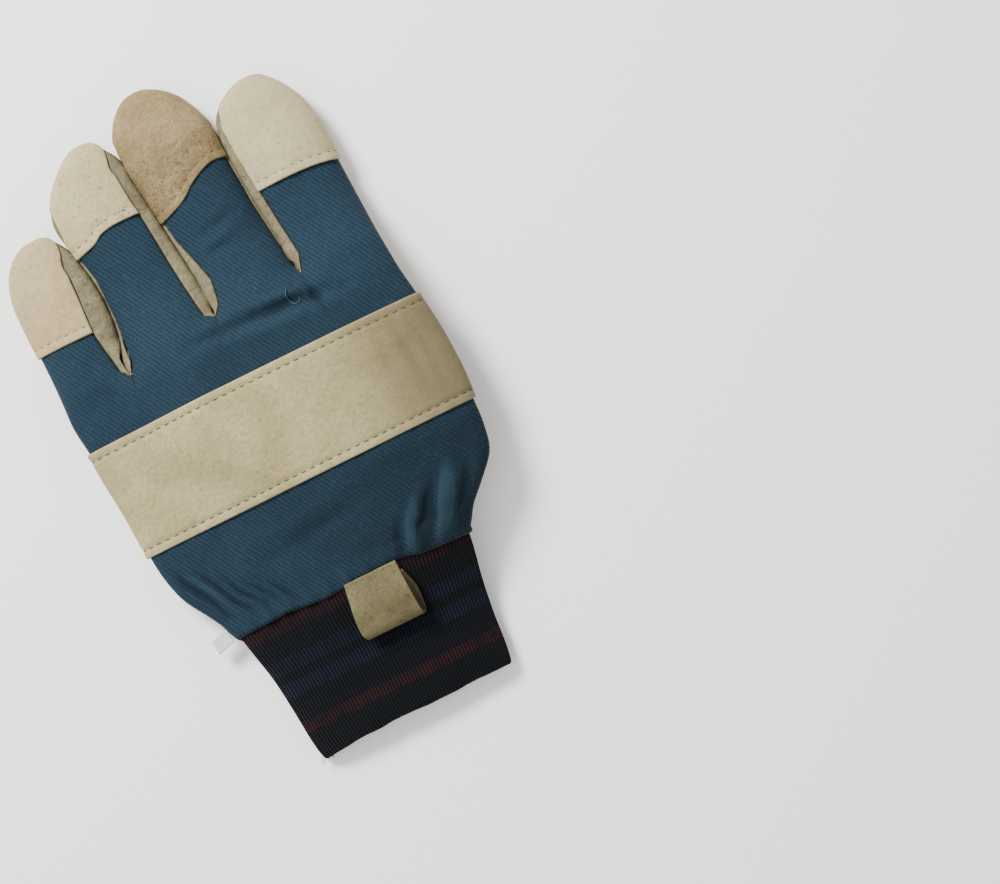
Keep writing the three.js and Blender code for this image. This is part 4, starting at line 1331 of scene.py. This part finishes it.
def pull_loop():
    """The strip folded into a loop: down from the cloth's edge, round the fold and back under.

    Along the path, y and the rise over the cuff come from the drawn stations, and so do the left and
    right edges; the fold itself is half a turn.
    """
    rows, cols = GRIDS["loop"]
    at = np.linspace(0, 3, rows)[:, None]
    turn = np.pi * np.clip(at - 1, 0, 1)
    rise, low, fold, high = (LOOP[key] for key in ("rise", "low", "fold", "high"))
    y = np.where(at < 1, lerp(high, fold, at), lerp(fold, high - 4, at - 2))
    y = np.where((at >= 1) & (at <= 2), lerp(fold, low, np.sin(turn)), y)
    above = lerp(LOOP["clear"], rise, smoothstep(at, 0, 0.75))
    above = np.where(at > 1, rise / 2 + rise / 2 * np.cos(turn), above)
    left = smooth([0, 1, 1.5, 2, 3], LOOP["left"], at)
    right = smooth([0, 1, 1.5, 2, 2.5, 3], LOOP["right"], at)
    x = lerp(left, right, crowded(cols, 0.6)[None, :])
    y = y + 0 * x
    ground = cuff_height(x, y)
    ripple = 0.3 * noise(x, y + at * 9, 8, 81) + 0.12 * noise(x, y + at * 9, 3, 83)
    z = ground + WALL + above + ripple * smoothstep(at, 0, 0.4)
    points = np.stack([x, y + ripple * 0.4, z], -1)
    new_piece("leather_loop", [points], "loop", ("pull_loop",), wall=LOOP_WALL, facing=UP)


pull_loop()


def size_tag():
    """The blank tag: a small doubled tape, flat, with a slight curl towards its free end."""
    rows, cols = GRIDS["tag"]
    share, down = np.meshgrid(np.linspace(0, 1, cols), np.linspace(0, 1, rows))
    x = TAG["x"] - TAG["long"] * share + 0.8 * down
    y = TAG["y"] - TAG["wide"] * down - 2.2 * share
    z = lift(x, y) + 6.8 + 0.5 * share**2 - 0.6 * share
    points = np.stack([x, y, z], -1)
    new_piece("blank_tag", [points], "tag", ("size_label",), wall=TAG_WALL, facing=UP)


size_tag()


def tube(path, radius, sides=7):
    """A thin closed thread: rings of the radius carried along a path, drawn in to nothing at both ends."""
    ahead = np.gradient(path, axis=0)
    ahead /= np.linalg.norm(ahead, axis=1, keepdims=True)
    side = np.cross(ahead, [0, 0, 1.0])
    side /= np.linalg.norm(side, axis=1, keepdims=True)
    up = np.cross(side, ahead)
    taper = np.sqrt(np.clip(1 - np.linspace(-1, 1, len(path)) ** 8, 0, 1))[:, None, None] * radius
    turn = np.linspace(0, 2 * np.pi, sides, endpoint=False)[None, :, None]
    return path[:, None] + taper * (np.cos(turn) * side[:, None] + np.sin(turn) * up[:, None])


def loose_ends():
    """A curl of blue thread under the index crotch, and pale ends frayed out of the cuff's corner."""
    t = np.linspace(0, 1, 60)
    x, y = smooth(CURL["at"], CURL["x"], t), smooth(CURL["at"], CURL["y"], t)
    height = glove_top(x, y) + 0.35 + 0.5 * np.sin(np.pi * t)
    curl = tube(np.stack([x, y, height], -1), 0.2)
    new_piece("loose_thread", [curl], "blue", wall=0, ring=True)
    frays = []
    for number, (start, turn, length) in enumerate(zip(FRAYS["start"], FRAYS["heading"], FRAYS["length"])):
        s = np.linspace(0, 1, 24)
        bend = np.radians(turn) + 0.9 * s * np.cos(2.3 * number)
        x, y = -30.0 + start + length * s * np.cos(bend), -1.2 + length * s * np.sin(bend)
        frays.append(tube(np.stack([x, y, 3.0 + 1.2 * np.sin(number + 2 * s)], -1), 0.14))
    new_piece("frayed_corner", frays, "pale", wall=0, ring=True)


def glove_top(x, y):
    """Height of the cloth's upper side at x, y, on the hand itself."""
    centre, half, mid, high = hand_size(y)
    v = oval((x - centre) / half, HAND_POWER)
    return mid + high * v + lift(x, y) + v * cloth_relief(x, y)


loose_ends()


FLOOR_GAP = 0.0004


def floor():
    """The pale floor: a square of 6 m, 0.4 mm under the glove."""
    mesh = bpy.data.meshes.new("floor")
    mesh.from_pydata([(-3, -3, 0), (3, -3, 0), (3, 3, 0), (-3, 3, 0)], [], [(0, 1, 2, 3)])
    glow = {"Emission_Color": (1, 1, 1, 1), "Emission_Strength": 0.12}
    surface = Finish("pale_floor", Specular_IOR_Level=0.1, **glow)
    speck = surface.noise(400, 2)
    shade = surface.mix(speck, (0.95, 0.95, 0.95), (0.97, 0.97, 0.97))
    mesh.materials.append(surface.done(shade, 0.9, speck, 0.01, 0.1))
    ground = bpy.data.objects.new("floor", mesh)
    ground.location.z = -FLOOR_GAP
    bpy.context.scene.collection.objects.link(ground)
    ground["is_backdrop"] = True


floor()


def soft_light(name, place, size, power):
    """A round lamp turned to the glove's middle, with its size in m and its power in W."""
    data = bpy.data.lights.new(name, "AREA")
    data.shape, data.size, data.energy = "DISK", size, power
    light = bpy.data.objects.new(name, data)
    light.location = place
    light.rotation_euler = (-Vector(place)).to_track_quat("-Z", "Y").to_euler()
    bpy.context.scene.collection.objects.link(light)


soft_light("key", (-0.38, 0.9, 0.95), 0.5, 40)
soft_light("fill", (-0.9, -0.3, 1.4), 1.2, 7)
world = bpy.data.worlds.new("studio")
bpy.context.scene.world = world
world.use_nodes = True
world.node_tree.nodes["Background"].inputs["Color"].default_value = (1, 1, 1, 1)
world.node_tree.nodes["Background"].inputs["Strength"].default_value = 0.78

# The camera looks straight down. The photo's middle in drawing mm, its width in m at the height of the
# glove's back, and its turn come from lining the drawing up with the photo.
CAMERA_HEIGHT = 1.7
BACK_HEIGHT = 0.012
SENSOR_WIDTH = 36
PHOTO_WIDTH = 0.3943
PHOTO_MIDDLE = np.array([87.3, 80.5, 0])
PHOTO_TURN = -26.28
camera_data = bpy.data.cameras.new("camera")
camera_data.sensor_width = SENSOR_WIDTH
camera_data.lens = SENSOR_WIDTH * (CAMERA_HEIGHT - BACK_HEIGHT) / PHOTO_WIDTH
camera = bpy.data.objects.new("camera", camera_data)
look = (PHOTO_MIDDLE - MIDDLE) * MM
camera.location = (look[0], look[1], CAMERA_HEIGHT)
camera.rotation_euler = Euler((0, 0, math.radians(PHOTO_TURN)))
bpy.context.scene.collection.objects.link(camera)
bpy.context.scene.camera = camera

bpy.context.view_layer.update()
boxes = {"cad": CAD_BOX, "visual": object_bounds()}
{key: [list(map(float, corner)) for corner in box] for key, box in boxes.items()}
